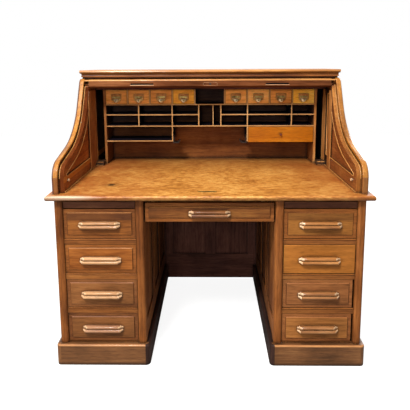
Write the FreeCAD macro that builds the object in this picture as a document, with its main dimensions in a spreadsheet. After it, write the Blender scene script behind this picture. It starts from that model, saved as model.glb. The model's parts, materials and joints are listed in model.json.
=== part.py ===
import FreeCAD, Part
import math
import os
import Sketcher

# Roll-top desk with two drawer pedestals. Millimetres, +Z up, the front faces -Y,
# and the origin is on the floor under the middle of the writing top.

V = FreeCAD.Vector
doc = FreeCAD.newDocument("RollTopDesk")

sizes = {
    # writing top and the lock keeper let into it
    "topWidth": 1372, "topDepth": 864, "topThick": 22, "topRound": 9, "writingHeight": 772,
    "keeperWide": 81, "keeperDeep": 16, "keeperThick": 2, "keeperSetback": 63, "keeperShift": -10,
    "keeperEase": 0.3,
    # pedestals: posts, framed sides and plinths
    "caseWidth": 1320, "caseSetback": 30, "caseInset": 22, "pedestalWide": 381,
    "postWide": 36, "postDeep": 40, "postRound": 12,
    "plinthHigh": 95, "plinthProud": 16, "plinthThick": 24, "plinthRound": 9, "plinthCorner": 20,
    "railThick": 18, "railSet": 2, "topRailHigh": 60, "lowRailHigh": 80, "muntinWide": 36,
    "panelThick": 8, "panelSet": 6,
    # drawer openings and their rails and runners
    "drawerHigh": 129, "drawerGap": 2, "dividerHigh": 25, "dividerDeep": 24, "dividerSet": 8,
    "sillHigh": 5, "sideGap": 1.5, "headHigh": 9, "runnerWide": 16, "runnerHigh": 14, "runClear": 0.3,
    # drawer fronts and boxes
    "frontThick": 16, "frontSet": 10, "fieldThick": 4, "fieldBorder": 14, "fieldBevel": 3, "wornEdge": 6,
    "boxThick": 12, "boxFloor": 6, "boxHigh": 98, "boxRearGap": 76, "boxSet": 4,
    # writing slides above the top drawers
    "slideHigh": 29, "slideThick": 18, "slideLip": 20, "slideDeep": 430, "slideSet": 9, "slideRise": 4,
    # centre drawer over the knee hole
    "centreHigh": 81, "centreDrop": 19, "centreGap": 6, "centreDeep": 480, "centreBoxHigh": 60,
    "centreBoxSet": 20, "centreLift": 12, "hangerHigh": 10, "hangerSetback": 2, "centreBorder": 15,
    # carved wooden pulls
    "pullLong": 176, "pullHigh": 30, "pullProud": 24, "pullEnd": 13, "pullShoulder": 19, "pullTip": 10,
    "pullDrop": 3,
    # panelled back of the knee hole
    "kneeThick": 20, "kneeLift": 12, "kneeLowRail": 154, "kneeTopRail": 110, "kneeStile": 52,
    "kneeMuntin": 60,
    # curved sides of the roll section
    "rollWidth": 1328, "sideThick": 26, "footSetback": 30, "shoulderHigh": 122.5, "slopeAngle": 14.5,
    "shoulderRadius": 78, "waistDepth": 331, "steepAngle": 62.5, "waistRadius": 345, "sideHigh": 470,
    "crestRadius": 30, "noseRound": 9, "noseInner": 4,
    "rollInset": 14, "linerThick": 20, "linerMember": 41, "linerLowRail": 60,
    "linerTopRun": 42, "linerTopRail": 46, "linerRear": 50, "linerPanel": 8, "linerPanelSet": 6,
    "linerBend": 14,
    # tambour, its groove and its run under the roof
    "curtainSet": 15.5, "slatThick": 10, "slatPitch": 20.75, "slatGap": 0.5, "slatRound": 4,
    "runClearance": 0.5,
    "grooveClear": 0.5, "grooveDeep": 8, "grooveBend": 24, "grooveInnerBend": 12, "grooveTail": 24,
    "runDrop": 34, "canvasThick": 0.4, "canvasSide": 30,
    "railDown": 16.5, "railUp": 25, "railProud": 9, "railBack": 9, "railRound": 6, "railLowRound": 3,
    "railEndGap": 3.5,
    "pinRadius": 2, "pinLong": 27.5, "pinRoot": 1, "linkThick": 1.8, "linkHigh": 8, "linkLong": 70,
    "linkGap": 0.3,
    "linkClear": 0.05, "bendStart": 27, "bendSlats": 6, "bendGap": 1.5,
    "tailSlats": 18, "tailSet": 37, "tailDrop": 6, "slatEndGap": 1,
    "gripLong": 116, "gripHigh": 9, "gripDeep": 7, "gripPlace": 343, "gripRise": 12, "gripRound": 2.5,
    "lockLong": 74, "lockHigh": 19, "lockThick": 2, "lockShift": 4, "lockRise": 11, "keyRadius": 4,
    "pegRadius": 6, "pegLong": 8, "pegBack": 75, "pegRise": 43,
    # roof board and the moulding under it
    "roofThick": 17, "bedHigh": 25, "roofSetback": 5, "roofInset": 4, "ogeeStep": 8, "ogeeDrop": 9,
    "bedStep": 12, "bedLift": 8, "bedFillet": 5, "bedRecess": 18,
    # panelled back of the roll section
    "backThick": 14, "backStile": 70, "backRail": 70, "backMuntin": 60, "backPanel": 8,
    # pigeonhole gallery
    "galleryRearGap": 60, "sideSlot": 43, "galleryDeep": 161, "galleryHigh": 418,
    "gallerySide": 12, "galleryTop": 10, "galleryTopProud": 6, "galleryBack": 6, "shelfThick": 6,
    "upperShelf": 322,
    "middleShelf": 267, "lowShelf": 205, "baseShelf": 123, "centreBay": 154, "slotSillHigh": 20,
    "slotSillDeep": 60, "slotSillLap": 10, "innerDivider": 204, "leftHoleWide": 174,
    "rightHoleWide": 118, "penDivider": 60,
    "penSplit": 18, "penSplitThick": 4, "bracketWide": 38, "bracketHigh": 40, "bracketLip": 6,
    "bracketDrop": 10,
    # small drawers and the wide drawer of the gallery
    "smallFront": 10, "smallGap": 1, "smallBox": 6, "smallFloor": 4, "smallDeep": 140, "smallSet": 1,
    "smallBoxHigh": 62, "faceEase": 1.5, "holderWide": 40, "holderHigh": 22, "holderThick": 2,
    "holderRim": 4, "holderSill": 5,
    "lugRadius": 5, "lugProud": 14, "lugRise": 20,
    "wideFront": 12, "wideLap": 5, "wideGap": 1.5, "wideShelfGap": 2, "wideDeep": 135,
    "wideBoxHigh": 62, "wideKnob": 5,
}


class Size:
    """A number together with the spreadsheet expression that gives it."""

    def __init__(self, value, text):
        self.value = value
        self.text = text

    def __float__(self):
        return float(self.value)

    def __add__(self, other):
        return Size(self.value + float(other), "(%s + %s)" % (self.text, textOf(other)))

    def __radd__(self, other):
        return Size(float(other) + self.value, "(%s + %s)" % (textOf(other), self.text))

    def __sub__(self, other):
        return Size(self.value - float(other), "(%s - %s)" % (self.text, textOf(other)))

    def __rsub__(self, other):
        return Size(float(other) - self.value, "(%s - %s)" % (textOf(other), self.text))

    def __mul__(self, other):
        return Size(self.value * float(other), "(%s * %s)" % (self.text, textOf(other)))

    __rmul__ = __mul__

    def __truediv__(self, other):
        return Size(self.value / float(other), "(%s / %s)" % (self.text, textOf(other)))

    def __neg__(self):
        return Size(-self.value, "(0 - %s)" % self.text)


def textOf(number):
    return number.text if isinstance(number, Size) else repr(float(number))


class SizeSheet:
    pass


def fillSheet():
    sheet = doc.addObject("Spreadsheet::Sheet", "Sizes")
    table = SizeSheet()
    for row, (name, value) in enumerate(sizes.items(), start=1):
        sheet.set("A%d" % row, name)
        sheet.set("B%d" % row, str(value))
        sheet.setAlias("B%d" % row, name)
        setattr(table, name, Size(value, "Sizes." + name))
    doc.recompute()
    return table


S = fillSheet()
subParts = []


def bind(item, prop, number):
    if isinstance(number, Size):
        item.setExpression(prop, number.text)
    else:
        item.setExpression(prop, repr(float(number)))


def place(item, x, y, z):
    bind(item, "Placement.Base.x", x)
    bind(item, "Placement.Base.y", y)
    bind(item, "Placement.Base.z", z)


def board(name, x, y, z, dx, dy, dz):
    box = doc.addObject("Part::Box", name)
    bind(box, "Length", dx)
    bind(box, "Width", dy)
    bind(box, "Height", dz)
    place(box, x, y, z)
    return box


def span(side, near, far):
    """Start and length along X of a board between two distances from the middle."""
    return (near if side > 0 else -far), far - near


def sideBoard(name, side, near, far, y, z, dy, dz):
    x, dx = span(side, near, far)
    return board(name, x, y, z, dx, dy, dz)


def rounded(name, box, radius, wanted):
    """Fillet the edges of a board whose middle point passes the wanted test."""
    doc.recompute()
    edges = []
    for number, edge in enumerate(box.Shape.Edges, start=1):
        middle = edge.CenterOfMass
        direction = edge.tangentAt(edge.FirstParameter)
        if wanted(middle, direction):
            edges.append((number, float(radius), float(radius)))
    item = doc.addObject("Part::Fillet", name)
    item.Base = box
    item.Edges = edges
    return item


def subPart(label, pieces):
    """One named sub-part: a single solid, or several boards kept as separate solids."""
    item = doc.addObject("Part::Compound", label)
    item.Links = pieces
    item.Label = label
    subParts.append(item)
    return item


def feature(name, shape):
    item = doc.addObject("Part::Feature", name)
    item.Shape = shape
    item.Placement = FreeCAD.Placement()
    return item


def originPlane(body, role):
    return [plane for plane in body.Origin.OriginFeatures if plane.Role == role][0]


def sketchOn(body, name, role, corners, offset=0.0):
    """A closed polygon on one of the body's own planes, each corner held by two sizes."""
    sketch = body.newObject("Sketcher::SketchObject", name)
    sketch.AttachmentSupport = [(originPlane(body, role), "")]
    sketch.MapMode = "FlatFace"
    bind(sketch, "AttachmentOffset.Base.z", offset)
    count = len(corners)
    for i in range(count):
        a, b = corners[i], corners[(i + 1) % count]
        start = V(float(a[0]), float(a[1]), 0)
        end = V(float(b[0]), float(b[1]), 0)
        sketch.addGeometry(Part.LineSegment(start, end), False)
    for i in range(count):
        sketch.addConstraint(Sketcher.Constraint("Coincident", i, 2, (i + 1) % count, 1))
    for i, corner in enumerate(corners):
        for kind, number in (("DistanceX", corner[0]), ("DistanceY", corner[1])):
            index = sketch.addConstraint(Sketcher.Constraint(kind, -1, 1, i, 1, float(number)))
            if isinstance(number, Size):
                sketch.renameConstraint(index, "%s%d" % (kind, i))
                sketch.setExpression("Constraints.%s%d" % (kind, i), number.text)
    return sketch


def pad(body, sketch, name, length):
    item = body.newObject("PartDesign::Pad", name)
    item.Profile = sketch
    bind(item, "Length", length)
    body.Tip = item
    return item


def edgesWhere(shape, test):
    return ["Edge%d" % n for n, edge in enumerate(shape.Edges, start=1) if test(edge)]


front = -S.topDepth / 2
rear = S.topDepth / 2
caseFront = front + S.caseSetback
caseRear = rear - S.caseInset
caseOuter = S.caseWidth / 2
caseInner = caseOuter - S.pedestalWide
caseTop = S.writingHeight - S.topThick
openInner = caseInner + S.postWide
openOuter = caseOuter - S.postWide
openWide = openOuter - openInner
drawerPitch = S.drawerHigh + S.dividerHigh + 2 * S.drawerGap
sideName = {-1: "left", 1: "right"}


# ---------------------------------------------------------------- writing top
def writingTop():
    body = doc.addObject("PartDesign::Body", "TopBody")
    halfWide = S.topWidth / 2
    corners = [(-halfWide, front), (halfWide, front), (halfWide, rear), (-halfWide, rear)]
    slab = pad(body, sketchOn(body, "TopOutline", "XY_Plane", corners), "TopSlab", S.topThick)
    left = S.keeperShift - S.keeperWide / 2
    near = front + S.keeperSetback
    corners = [(left, near), (left + S.keeperWide, near),
               (left + S.keeperWide, near + S.keeperDeep), (left, near + S.keeperDeep)]
    bed = sketchOn(body, "KeeperBed", "XY_Plane", corners, S.topThick)
    pocket = body.newObject("PartDesign::Pocket", "KeeperPocket")
    pocket.Profile = bed
    bind(pocket, "Length", S.keeperThick)
    body.Tip = pocket
    doc.recompute()
    limit = float(front) + 0.5
    reach = float(halfWide) - 0.5

    def nosing(edge):
        middle = edge.CenterOfMass
        level = abs(edge.Vertexes[0].Z - edge.Vertexes[-1].Z) < 0.01
        return level and (middle.y < limit or abs(middle.x) > reach)

    fillet = body.newObject("PartDesign::Fillet", "TopNosing")
    fillet.Base = (pocket, edgesWhere(pocket.Shape, nosing))
    bind(fillet, "Radius", S.topRound)
    body.Tip = fillet
    place(body, 0, 0, caseTop)
    subPart("writing_top", [body])
    plate = board("KeeperPlate", left + S.keeperEase, near + S.keeperEase, S.writingHeight - S.keeperThick,
                  S.keeperWide - 2 * S.keeperEase, S.keeperDeep - 2 * S.keeperEase,
                  S.keeperThick + S.keeperEase)
    subPart("lock_keeper_plate", [plate])


# ---------------------------------------------------------------- pedestals
def pedestalFrame(side):
    name = sideName[side].capitalize()
    pieces = []
    postHigh = caseTop - S.plinthHigh
    nearLimit = float(caseFront) + 0.5
    for label, near in (("Outer", openOuter), ("Inner", caseInner)):
        x, wide = span(side, near, near + S.postWide)
        post = board(name + "Front" + label + "PostBlank", x, caseFront, S.plinthHigh,
                     wide, S.postDeep, postHigh)
        pieces.append(rounded(name + "Front" + label + "Post", post, S.postRound,
                              lambda middle, way: middle.y < nearLimit and abs(way.z) > 0.9))
        pieces.append(board(name + "Rear" + label + "Post", x, caseRear - S.postDeep, S.plinthHigh,
                            wide, S.postDeep, postHigh))
    start = caseFront + S.postDeep
    run = caseRear - S.postDeep - start
    lowTop = S.plinthHigh + S.lowRailHigh
    highFoot = caseTop - S.topRailHigh
    for label, near in (("Outer", caseOuter - S.railSet - S.railThick), ("Inner", caseInner + S.railSet)):
        far = near + S.railThick
        pieces.append(sideBoard(name + label + "LowRail", side, near, far, start, S.plinthHigh,
                                run, S.lowRailHigh))
        pieces.append(sideBoard(name + label + "TopRail", side, near, far, start, highFoot,
                                run, S.topRailHigh))
        for third in (1, 2):
            middle = start + run * third / 3 - S.muntinWide / 2
            pieces.append(sideBoard("%s%sMuntin%d" % (name, label, third), side, near, far, middle, lowTop,
                                    S.muntinWide, highFoot - lowTop))
    backY = caseRear - S.railSet - S.railThick
    pieces.append(sideBoard(name + "BackLowRail", side, openInner, openOuter, backY, S.plinthHigh,
                            S.railThick, S.lowRailHigh))
    pieces.append(sideBoard(name + "BackTopRail", side, openInner, openOuter, backY, highFoot,
                            S.railThick, S.topRailHigh))
    subPart(sideName[side] + "_pedestal_frame", pieces)


def pedestalPanels(side):
    name = sideName[side].capitalize()
    pieces = []
    start = caseFront + S.postDeep
    run = caseRear - S.postDeep - start
    foot = S.plinthHigh + S.lowRailHigh
    high = caseTop - S.topRailHigh - foot
    half = S.muntinWide / 2
    outerNear = caseOuter - S.railSet - S.panelSet - S.panelThick
    innerNear = caseInner + S.railSet + S.panelSet
    for label, near in (("Outer", outerNear), ("Inner", innerNear)):
        for third in range(3):
            y = start + run * third / 3 + (half if third > 0 else 0)
            end = start + run * (third + 1) / 3 - (half if third < 2 else 0)
            pieces.append(sideBoard("%s%sPanel%d" % (name, label, third + 1), side, near,
                                    near + S.panelThick, y, foot, end - y, high))
    pieces.append(sideBoard(name + "BackPanel", side, openInner, openOuter,
                            caseRear - S.railSet - S.panelSet - S.panelThick, foot, S.panelThick, high))
    subPart(sideName[side] + "_pedestal_panels", pieces)


def openingFloor(number):
    """Height of the floor of a drawer opening; number 1 is the top drawer."""
    return S.plinthHigh + S.sillHigh + drawerPitch * (4 - number)


def slideFloor():
    return openingFloor(1) + S.drawerHigh + S.drawerGap + S.slideRise


def pedestalRails(side):
    name = sideName[side].capitalize()
    pieces = []
    y = caseFront + S.dividerSet
    pieces.append(sideBoard(name + "Sill", side, openInner, openOuter, y, S.plinthHigh,
                            S.dividerDeep, S.sillHigh))
    for number in (1, 2, 3):
        pieces.append(sideBoard("%sDivider%d" % (name, number), side, openInner, openOuter, y,
                                openingFloor(number) - S.dividerHigh, S.dividerDeep, S.dividerHigh))
    pieces.append(sideBoard(name + "Head", side, openInner, openOuter, y, caseTop - S.headHigh,
                            S.dividerDeep, S.headHigh))
    start = y + S.dividerDeep
    run = caseRear - S.railSet - S.railThick - start
    backEnd = caseRear - S.railSet - S.panelSet - S.panelThick
    for number in (1, 2, 3, 4):
        floor = openingFloor(number)
        high = S.runnerHigh if number < 4 else S.sillHigh
        length = run if number == 4 else backEnd - start
        for label, near in (("Inner", openInner), ("Outer", openOuter - S.runnerWide)):
            pieces.append(sideBoard("%s%sRunner%d" % (name, label, number), side, near,
                                    near + S.runnerWide, start, floor - high, length, high))
    cleatTop = slideFloor() + (S.slideHigh - S.slideThick) / 2 - S.runClear
    for label, near in (("Inner", openInner), ("Outer", openOuter - S.runnerWide)):
        pieces.append(sideBoard(name + label + "SlideCleat", side, near, near + S.runnerWide,
                                caseFront + S.postDeep, cleatTop - S.slideRise,
                                caseRear - S.railSet - S.railThick - caseFront - S.postDeep, S.slideRise))
    subPart(sideName[side] + "_drawer_rails", pieces)


def plinth(side):
    name = sideName[side].capitalize()
    near = caseInner - S.plinthProud
    far = caseOuter + S.plinthProud
    frontY = caseFront - S.plinthProud
    rearY = caseRear + S.plinthProud
    x, wide = span(side, near, far)
    low, high = sorted((float(x), float(x) + float(wide)))
    topLimit = float(S.plinthHigh) - 0.5
    pieces = []
    for label, y, way in (("Front", frontY, -1), ("Back", rearY - S.plinthThick, 1)):
        middleY = float(y) + float(S.plinthThick) / 2
        reach = float(S.plinthThick) / 2
        blank = board(name + "Plinth" + label + "Blank", x, y, 0, wide, S.plinthThick, S.plinthHigh)
        turned = rounded(name + "Plinth" + label + "Corners", blank, S.plinthCorner,
                         lambda p, along: abs(along.z) > 0.9 and (p.y - middleY) * way > reach - 0.5)
        pieces.append(rounded(name + "Plinth" + label, turned, S.plinthRound,
                              lambda p, along: p.z > topLimit and (p.y - middleY) * way > 0.5 - reach))
    run = rearY - frontY - 2 * S.plinthThick
    for label, a, b, edgeX in (("Inner", near, near + S.plinthThick, low if side > 0 else high),
                               ("Outer", far - S.plinthThick, far, high if side > 0 else low)):
        blank = sideBoard(name + "Plinth" + label + "Blank", side, a, b, frontY + S.plinthThick, 0,
                          run, S.plinthHigh)
        pieces.append(rounded(name + "Plinth" + label, blank, S.plinthRound,
                              lambda middle, way, edgeX=edgeX: abs(way.y) > 0.9
                              and middle.z > topLimit and abs(middle.x - edgeX) < 0.5))
    subPart(sideName[side] + "_plinth", pieces)


# ---------------------------------------------------------------- drawers
def raisedFront(name, wide, high, thick, border, raised):
    """A drawer front, its back on the body's XZ plane, with a bevelled raised field."""
    body = doc.addObject("PartDesign::Body", name)
    corners = [(-wide / 2, 0.0), (wide / 2, 0.0), (wide / 2, high), (-wide / 2, high)]
    blank = pad(body, sketchOn(body, name + "Outline", "XZ_Plane", corners), name + "Blank", thick)
    if raised:
        reach = wide / 2 - border
        corners = [(-reach, border), (reach, border), (reach, high - border), (-reach, high - border)]
        field = pad(body, sketchOn(body, name + "FieldOutline", "XZ_Plane", corners, thick),
                    name + "Field", S.fieldThick)
        doc.recompute()
        face = float(thick) + float(S.fieldThick)
        bevel = body.newObject("PartDesign::Chamfer", name + "Bevel")
        bevel.Base = (field, edgesWhere(field.Shape, lambda edge: abs(edge.CenterOfMass.y + face) < 0.01))
        bind(bevel, "Size", S.fieldBevel)
        body.Tip = bevel
    else:
        doc.recompute()
        face = float(thick)
        ease = body.newObject("PartDesign::Fillet", name + "Ease")
        ease.Base = (blank, edgesWhere(blank.Shape, lambda edge: abs(edge.CenterOfMass.y + face) < 0.01))
        bind(ease, "Radius", S.fieldBevel)
        body.Tip = ease
    return body


def boxBoards(name, x, y, z, wide, deep, high, thick, floor):
    """Two sides, a back and a floor of a drawer box that starts at the back of its front."""
    floorLift = 3 * S.runClear
    return [
        board(name + "SideA", x, y, z, thick, deep, high),
        board(name + "SideB", x + wide - thick, y, z, thick, deep, high),
        board(name + "Back", x + thick, y + deep - thick, z, wide - 2 * thick, thick, high),
        board(name + "Floor", x + thick, y, z + floorLift, wide - 2 * thick, deep - thick, floor),
    ]


def pull(name, x, y, z):
    """A carved wooden pull: two ridges over a finger hollow, with the ends cut back."""
    body = doc.addObject("PartDesign::Body", name + "Body")
    out = S.pullProud
    high = S.pullHigh
    section = [
        (0.0, high * 0.06), (out * 0.30, high * 0.10), (out * 0.62, 0.0), (out, high * 0.16),
        (out * 0.96, high * 0.40), (out * 0.66, high * 0.50), (out * 0.70, high * 0.58),
        (out * 0.78, high * 0.80), (out * 0.56, high), (0.0, high),
    ]
    corners = [(-a, b) for a, b in section]
    sketch = sketchOn(body, name + "Section", "YZ_Plane", corners, -S.pullLong / 2)
    bar = pad(body, sketch, name + "Bar", S.pullLong)

    def cutAway(label, role, corners, offset, depth):
        pocket = body.newObject("PartDesign::Pocket", name + "Cut" + label)
        pocket.Profile = sketchOn(body, name + "End" + label, role, corners, offset)
        bind(pocket, "Length", depth)
        pocket.Reversed = True
        body.Tip = pocket

    for label, side in (("A", -1), ("B", 1)):
        end = side * S.pullLong / 2
        wedge = [(end - side * S.pullEnd, -out - 1), (end + side, -out - 1), (end + side, -out * 0.12),
                 (end, -out * 0.12)]
        cutAway("Plan" + label, "XY_Plane", wedge, -1.0, high + 2)
        shoulder = end - side * S.pullShoulder
        upper = [(shoulder, high + 1), (end + side, high + 1), (end + side, high - S.pullTip),
                 (end, high - S.pullTip), (shoulder, high)]
        cutAway("Upper" + label, "XZ_Plane", upper, -1.0, out + 2)
        lower = [(shoulder, -1.0), (end + side, -1.0), (end + side, S.pullTip), (end, S.pullTip),
                 (shoulder, 0.0)]
        cutAway("Lower" + label, "XZ_Plane", lower, -1.0, out + 2)
    doc.recompute()
    place(body, x, y, z)
    return body


def pedestalDrawer(side, number):
    label = "%s_drawer_%d" % (sideName[side], number)
    name = "%sDrawer%d" % (sideName[side].capitalize(), number)
    floor = openingFloor(number)
    wide = openWide - 2 * S.sideGap
    middle = side * (openInner + openWide / 2)
    frontBack = caseFront + S.frontSet + S.frontThick
    plain = side > 0 and number == 2
    worn = S.wornEdge if side > 0 and number > 2 else 0
    face = raisedFront(name + "Front", wide - worn, S.drawerHigh,
                       S.frontThick + (S.fieldThick if plain else 0), S.fieldBorder, not plain)
    place(face, middle - worn / 2, frontBack, floor + S.drawerGap)
    boxWide = wide - 2 * S.boxSet
    boxDeep = caseRear - S.railSet - S.railThick - S.boxRearGap - frontBack
    boards = boxBoards(name, middle - boxWide / 2, frontBack, floor + S.runClear, boxWide, boxDeep,
                       S.boxHigh, S.boxThick, S.boxFloor)
    subPart(label, [face] + boards)
    pullY = frontBack - S.frontThick - S.fieldThick
    pullZ = floor + S.drawerGap + S.drawerHigh / 2 - S.pullHigh / 2 - S.pullDrop
    subPart("%s_pull_%d" % (sideName[side], number), [pull(name + "Pull", middle, pullY, pullZ)])


def centreDrawer():
    reach = caseInner - S.centreGap
    foot = caseTop - S.centreDrop - S.centreHigh
    frontBack = caseFront + S.frontSet + S.frontThick
    face = raisedFront("CentreFront", 2 * reach, S.centreHigh, S.frontThick, S.centreBorder, True)
    place(face, 0, frontBack, foot)
    boxWide = 2 * (reach - S.centreBoxSet)
    hangerTop = foot + S.centreLift
    boards = boxBoards("CentreDrawer", -boxWide / 2, frontBack, hangerTop + S.runClear, boxWide,
                       S.centreDeep, S.centreBoxHigh, S.boxThick, S.boxFloor)
    subPart("centre_drawer", [face] + boards)
    pullY = frontBack - S.frontThick - S.fieldThick
    pullZ = foot + S.centreHigh / 2 - S.pullHigh / 2 - S.pullDrop
    subPart("centre_pull", [pull("CentrePull", 0, pullY, pullZ)])
    hangers = []
    kneeFace = caseRear - S.railSet - S.kneeThick
    for side in (-1, 1):
        near = reach - S.centreBoxSet - S.boxThick
        hangers.append(sideBoard("CentreHanger%d" % (side + 2), side, near, caseInner,
                                 frontBack + S.hangerSetback, hangerTop - S.hangerHigh,
                                 kneeFace - frontBack - S.hangerSetback, S.hangerHigh))
    subPart("centre_drawer_runners", hangers)


def writingSlide(side):
    name = sideName[side].capitalize() + "Slide"
    floor = slideFloor()
    wide = openWide - 2 * S.sideGap
    middle = side * (openInner + openWide / 2)
    y = caseFront + S.slideSet
    lip = board(name + "Lip", middle - wide / 2, y, floor, wide, S.slideLip, S.slideHigh)
    lipFace = float(y) + 0.5
    lip = rounded(name + "LipRound", lip, S.fieldBevel,
                  lambda point, way: point.y < lipFace and abs(way.x) > 0.9)
    leafWide = wide - 2 * S.sideGap
    leaf = board(name + "Leaf", middle - leafWide / 2, y + S.slideLip,
                 floor + (S.slideHigh - S.slideThick) / 2, leafWide, S.slideDeep, S.slideThick)
    subPart(sideName[side] + "_writing_slide", [lip, leaf])


# ---------------------------------------------------------------- knee hole back
def kneeBack():
    y = caseRear - S.railSet - S.kneeThick
    foot = S.kneeLift
    lowTop = foot + S.kneeLowRail
    highFoot = caseTop - S.kneeTopRail
    high = highFoot - lowTop
    inner = caseInner - S.kneeStile
    reach = caseInner - S.plinthProud
    pieces = [
        board("KneeLowRail", -reach, y, foot, 2 * reach, S.kneeThick, S.kneeLowRail),
        board("KneeTopRail", -caseInner, y, highFoot, 2 * caseInner, S.kneeThick, S.kneeTopRail),
        board("KneeMuntin", -S.kneeMuntin / 2, y, lowTop, S.kneeMuntin, S.kneeThick, high),
    ]
    for side in (-1, 1):
        pieces.append(sideBoard("KneeStile%d" % (side + 2), side, inner, caseInner, y, lowTop,
                                S.kneeThick, high))
        pieces.append(sideBoard("KneeHorn%d" % (side + 2), side, reach, caseInner, y, S.plinthHigh,
                                S.kneeThick, lowTop - S.plinthHigh))
    subPart("knee_back_frame", pieces)
    panels = []
    for side in (-1, 1):
        panels.append(sideBoard("KneePanel%d" % (side + 2), side, S.kneeMuntin / 2, inner,
                                y + S.panelSet, lowTop, S.panelThick, high))
    subPart("knee_back_panels", panels)


# ---------------------------------------------------------------- curved outline of the roll section
footY = float(front + S.footSetback)
footZ = float(S.writingHeight)
rollRear = float(rear - S.rollInset)
slope = math.radians(float(S.slopeAngle))
steep = math.radians(float(S.steepAngle))
shoulder = (footY, footZ + float(S.shoulderHigh))
waist = (footY + float(S.waistDepth), shoulder[1] + float(S.waistDepth) * math.tan(slope))
sideTop = footZ + float(S.sideHigh)
linerTop = sideTop - float(S.runDrop)
runHeight = linerTop + float(S.runClearance) + float(S.slatThick) / 2


def meet(p, d, q, e):
    """Where two straight lines, each a point and a direction in the YZ plane, cross."""
    cross = d[0] * e[1] - d[1] * e[0]
    t = ((q[0] - p[0]) * e[1] - (q[1] - p[1]) * e[0]) / cross
    return (p[0] + t * d[0], p[1] + t * d[1])


def inward(point, angle, offset):
    return (point[0] + offset * math.sin(angle), point[1] - offset * math.cos(angle))


def rollCorners(offset, topZ, topRadius):
    """Corners, each with its rounding, of the front edge moved inwards by an offset."""
    slopeLine = (inward(shoulder, slope, offset), (math.cos(slope), math.sin(slope)))
    steepLine = (inward(waist, steep, offset), (math.cos(steep), math.sin(steep)))
    footLine = ((footY + offset, footZ), (0.0, 1.0))
    topLine = ((footY, topZ), (1.0, 0.0))
    return [
        ((footY + offset, footZ), 0.0),
        (meet(*footLine, *slopeLine), float(S.shoulderRadius) - offset),
        (meet(*slopeLine, *steepLine), float(S.waistRadius) + offset),
        (meet(*steepLine, *topLine), topRadius),
    ]


def at(x, point):
    return V(x, point[0], point[1])


def roundedWire(x, corners):
    """A closed wire in the plane X = x: straight runs joined by tangent arcs."""
    edges = []
    count = len(corners)
    ends = []
    for i, (corner, radius) in enumerate(corners):
        before = corners[i - 1][0]
        after = corners[(i + 1) % count][0]
        if radius < 0.01:
            ends.append((corner, None, corner))
            continue
        a = (before[0] - corner[0], before[1] - corner[1])
        b = (after[0] - corner[0], after[1] - corner[1])
        lengthA, lengthB = math.hypot(*a), math.hypot(*b)
        a = (a[0] / lengthA, a[1] / lengthA)
        b = (b[0] / lengthB, b[1] / lengthB)
        half = math.acos(a[0] * b[0] + a[1] * b[1]) / 2
        reach = radius / math.tan(half)
        toCentre = radius / math.sin(half)
        bisector = (a[0] + b[0], a[1] + b[1])
        size = math.hypot(*bisector)
        depth = (toCentre - radius) / size
        middle = (corner[0] + bisector[0] * depth, corner[1] + bisector[1] * depth)
        ends.append(((corner[0] + a[0] * reach, corner[1] + a[1] * reach), middle,
                     (corner[0] + b[0] * reach, corner[1] + b[1] * reach)))
    for i, (start, middle, end) in enumerate(ends):
        if middle is not None:
            edges.append(Part.Arc(at(x, start), at(x, middle), at(x, end)).toShape())
        following = ends[(i + 1) % count][0]
        if math.hypot(following[0] - end[0], following[1] - end[1]) > 0.001:
            edges.append(Part.LineSegment(at(x, end), at(x, following)).toShape())
    return Part.Wire(edges)


def prism(x, wide, corners):
    return Part.Face(roundedWire(x, corners)).extrude(V(wide, 0, 0))


def rollPrism(x, wide, offset, topZ, topRadius, rearY):
    corners = rollCorners(offset, topZ, topRadius)
    corners += [((rearY, topZ), 0.0), ((rearY, footZ), 0.0)]
    return prism(x, wide, corners)


def sideStart(side, near, far):
    return near if side > 0 else -far


def rollSide(side):
    """The solid outer board with the tambour groove cut along its inner face."""
    outer = float(S.rollWidth) / 2
    thick = float(S.sideThick)
    shape = rollPrism(sideStart(side, outer - thick, outer), thick, 0.0, sideTop,
                      float(S.crestRadius), rollRear)
    for face, radius in ((outer, float(S.noseRound)), (outer - thick, float(S.noseInner))):
        nose = [edge for edge in shape.Edges if abs(edge.CenterOfMass.x - side * face) < 0.01
                and edge.CenterOfMass.y < footY + 0.5 and edge.CenterOfMass.z > footZ + 1]
        shape = shape.makeFillet(radius, nose)
    half = float(S.slatThick) / 2 + float(S.grooveClear)
    setIn = float(S.curtainSet)
    depth = float(S.grooveDeep)
    x = sideStart(side, outer - thick, outer - thick + depth)
    grooveRear = rollRear - float(S.grooveTail)
    outerEdge = rollPrism(x, depth, setIn - half, runHeight + half, float(S.grooveBend), grooveRear)
    innerEdge = rollPrism(x, depth, setIn + half, runHeight - half, float(S.grooveInnerBend), grooveRear)
    shape = shape.cut(outerEdge.cut(innerEdge))
    subPart(sideName[side] + "_roll_side", [feature(sideName[side].capitalize() + "RollSide", shape)])


def linerOpening(x, wide):
    """The panel opening inside the liner: curved member in front, rails and a wide rear stile."""
    inset = linerOffset + float(S.linerMember)
    low = footZ + float(S.linerLowRail)
    top = linerTop - float(S.linerTopRail)
    curve = rollCorners(inset, top, 0.0)
    rearY = curve[3][0][0] + float(S.linerTopRun)
    slopeStart = curve[1][0]
    corners = [((slopeStart[0], low), 0.0), (slopeStart, 0.0), curve[2], (curve[3][0], 0.0),
               ((rearY, top), 0.0), ((rearY, low), 0.0)]
    return prism(x, wide, corners)


linerOffset = float(S.curtainSet) + float(S.slatThick) / 2 + float(S.grooveClear)


def rollLiner(side):
    outer = float(S.rollWidth) / 2 - float(S.sideThick)
    thick = float(S.linerThick)
    x = sideStart(side, outer - thick, outer)
    whole = rollPrism(x, thick, linerOffset, linerTop, float(S.linerBend), rollRear - float(S.linerRear))
    frame = whole.cut(linerOpening(x, thick))
    subPart(sideName[side] + "_roll_liner", [feature(sideName[side].capitalize() + "Liner", frame)])


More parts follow.
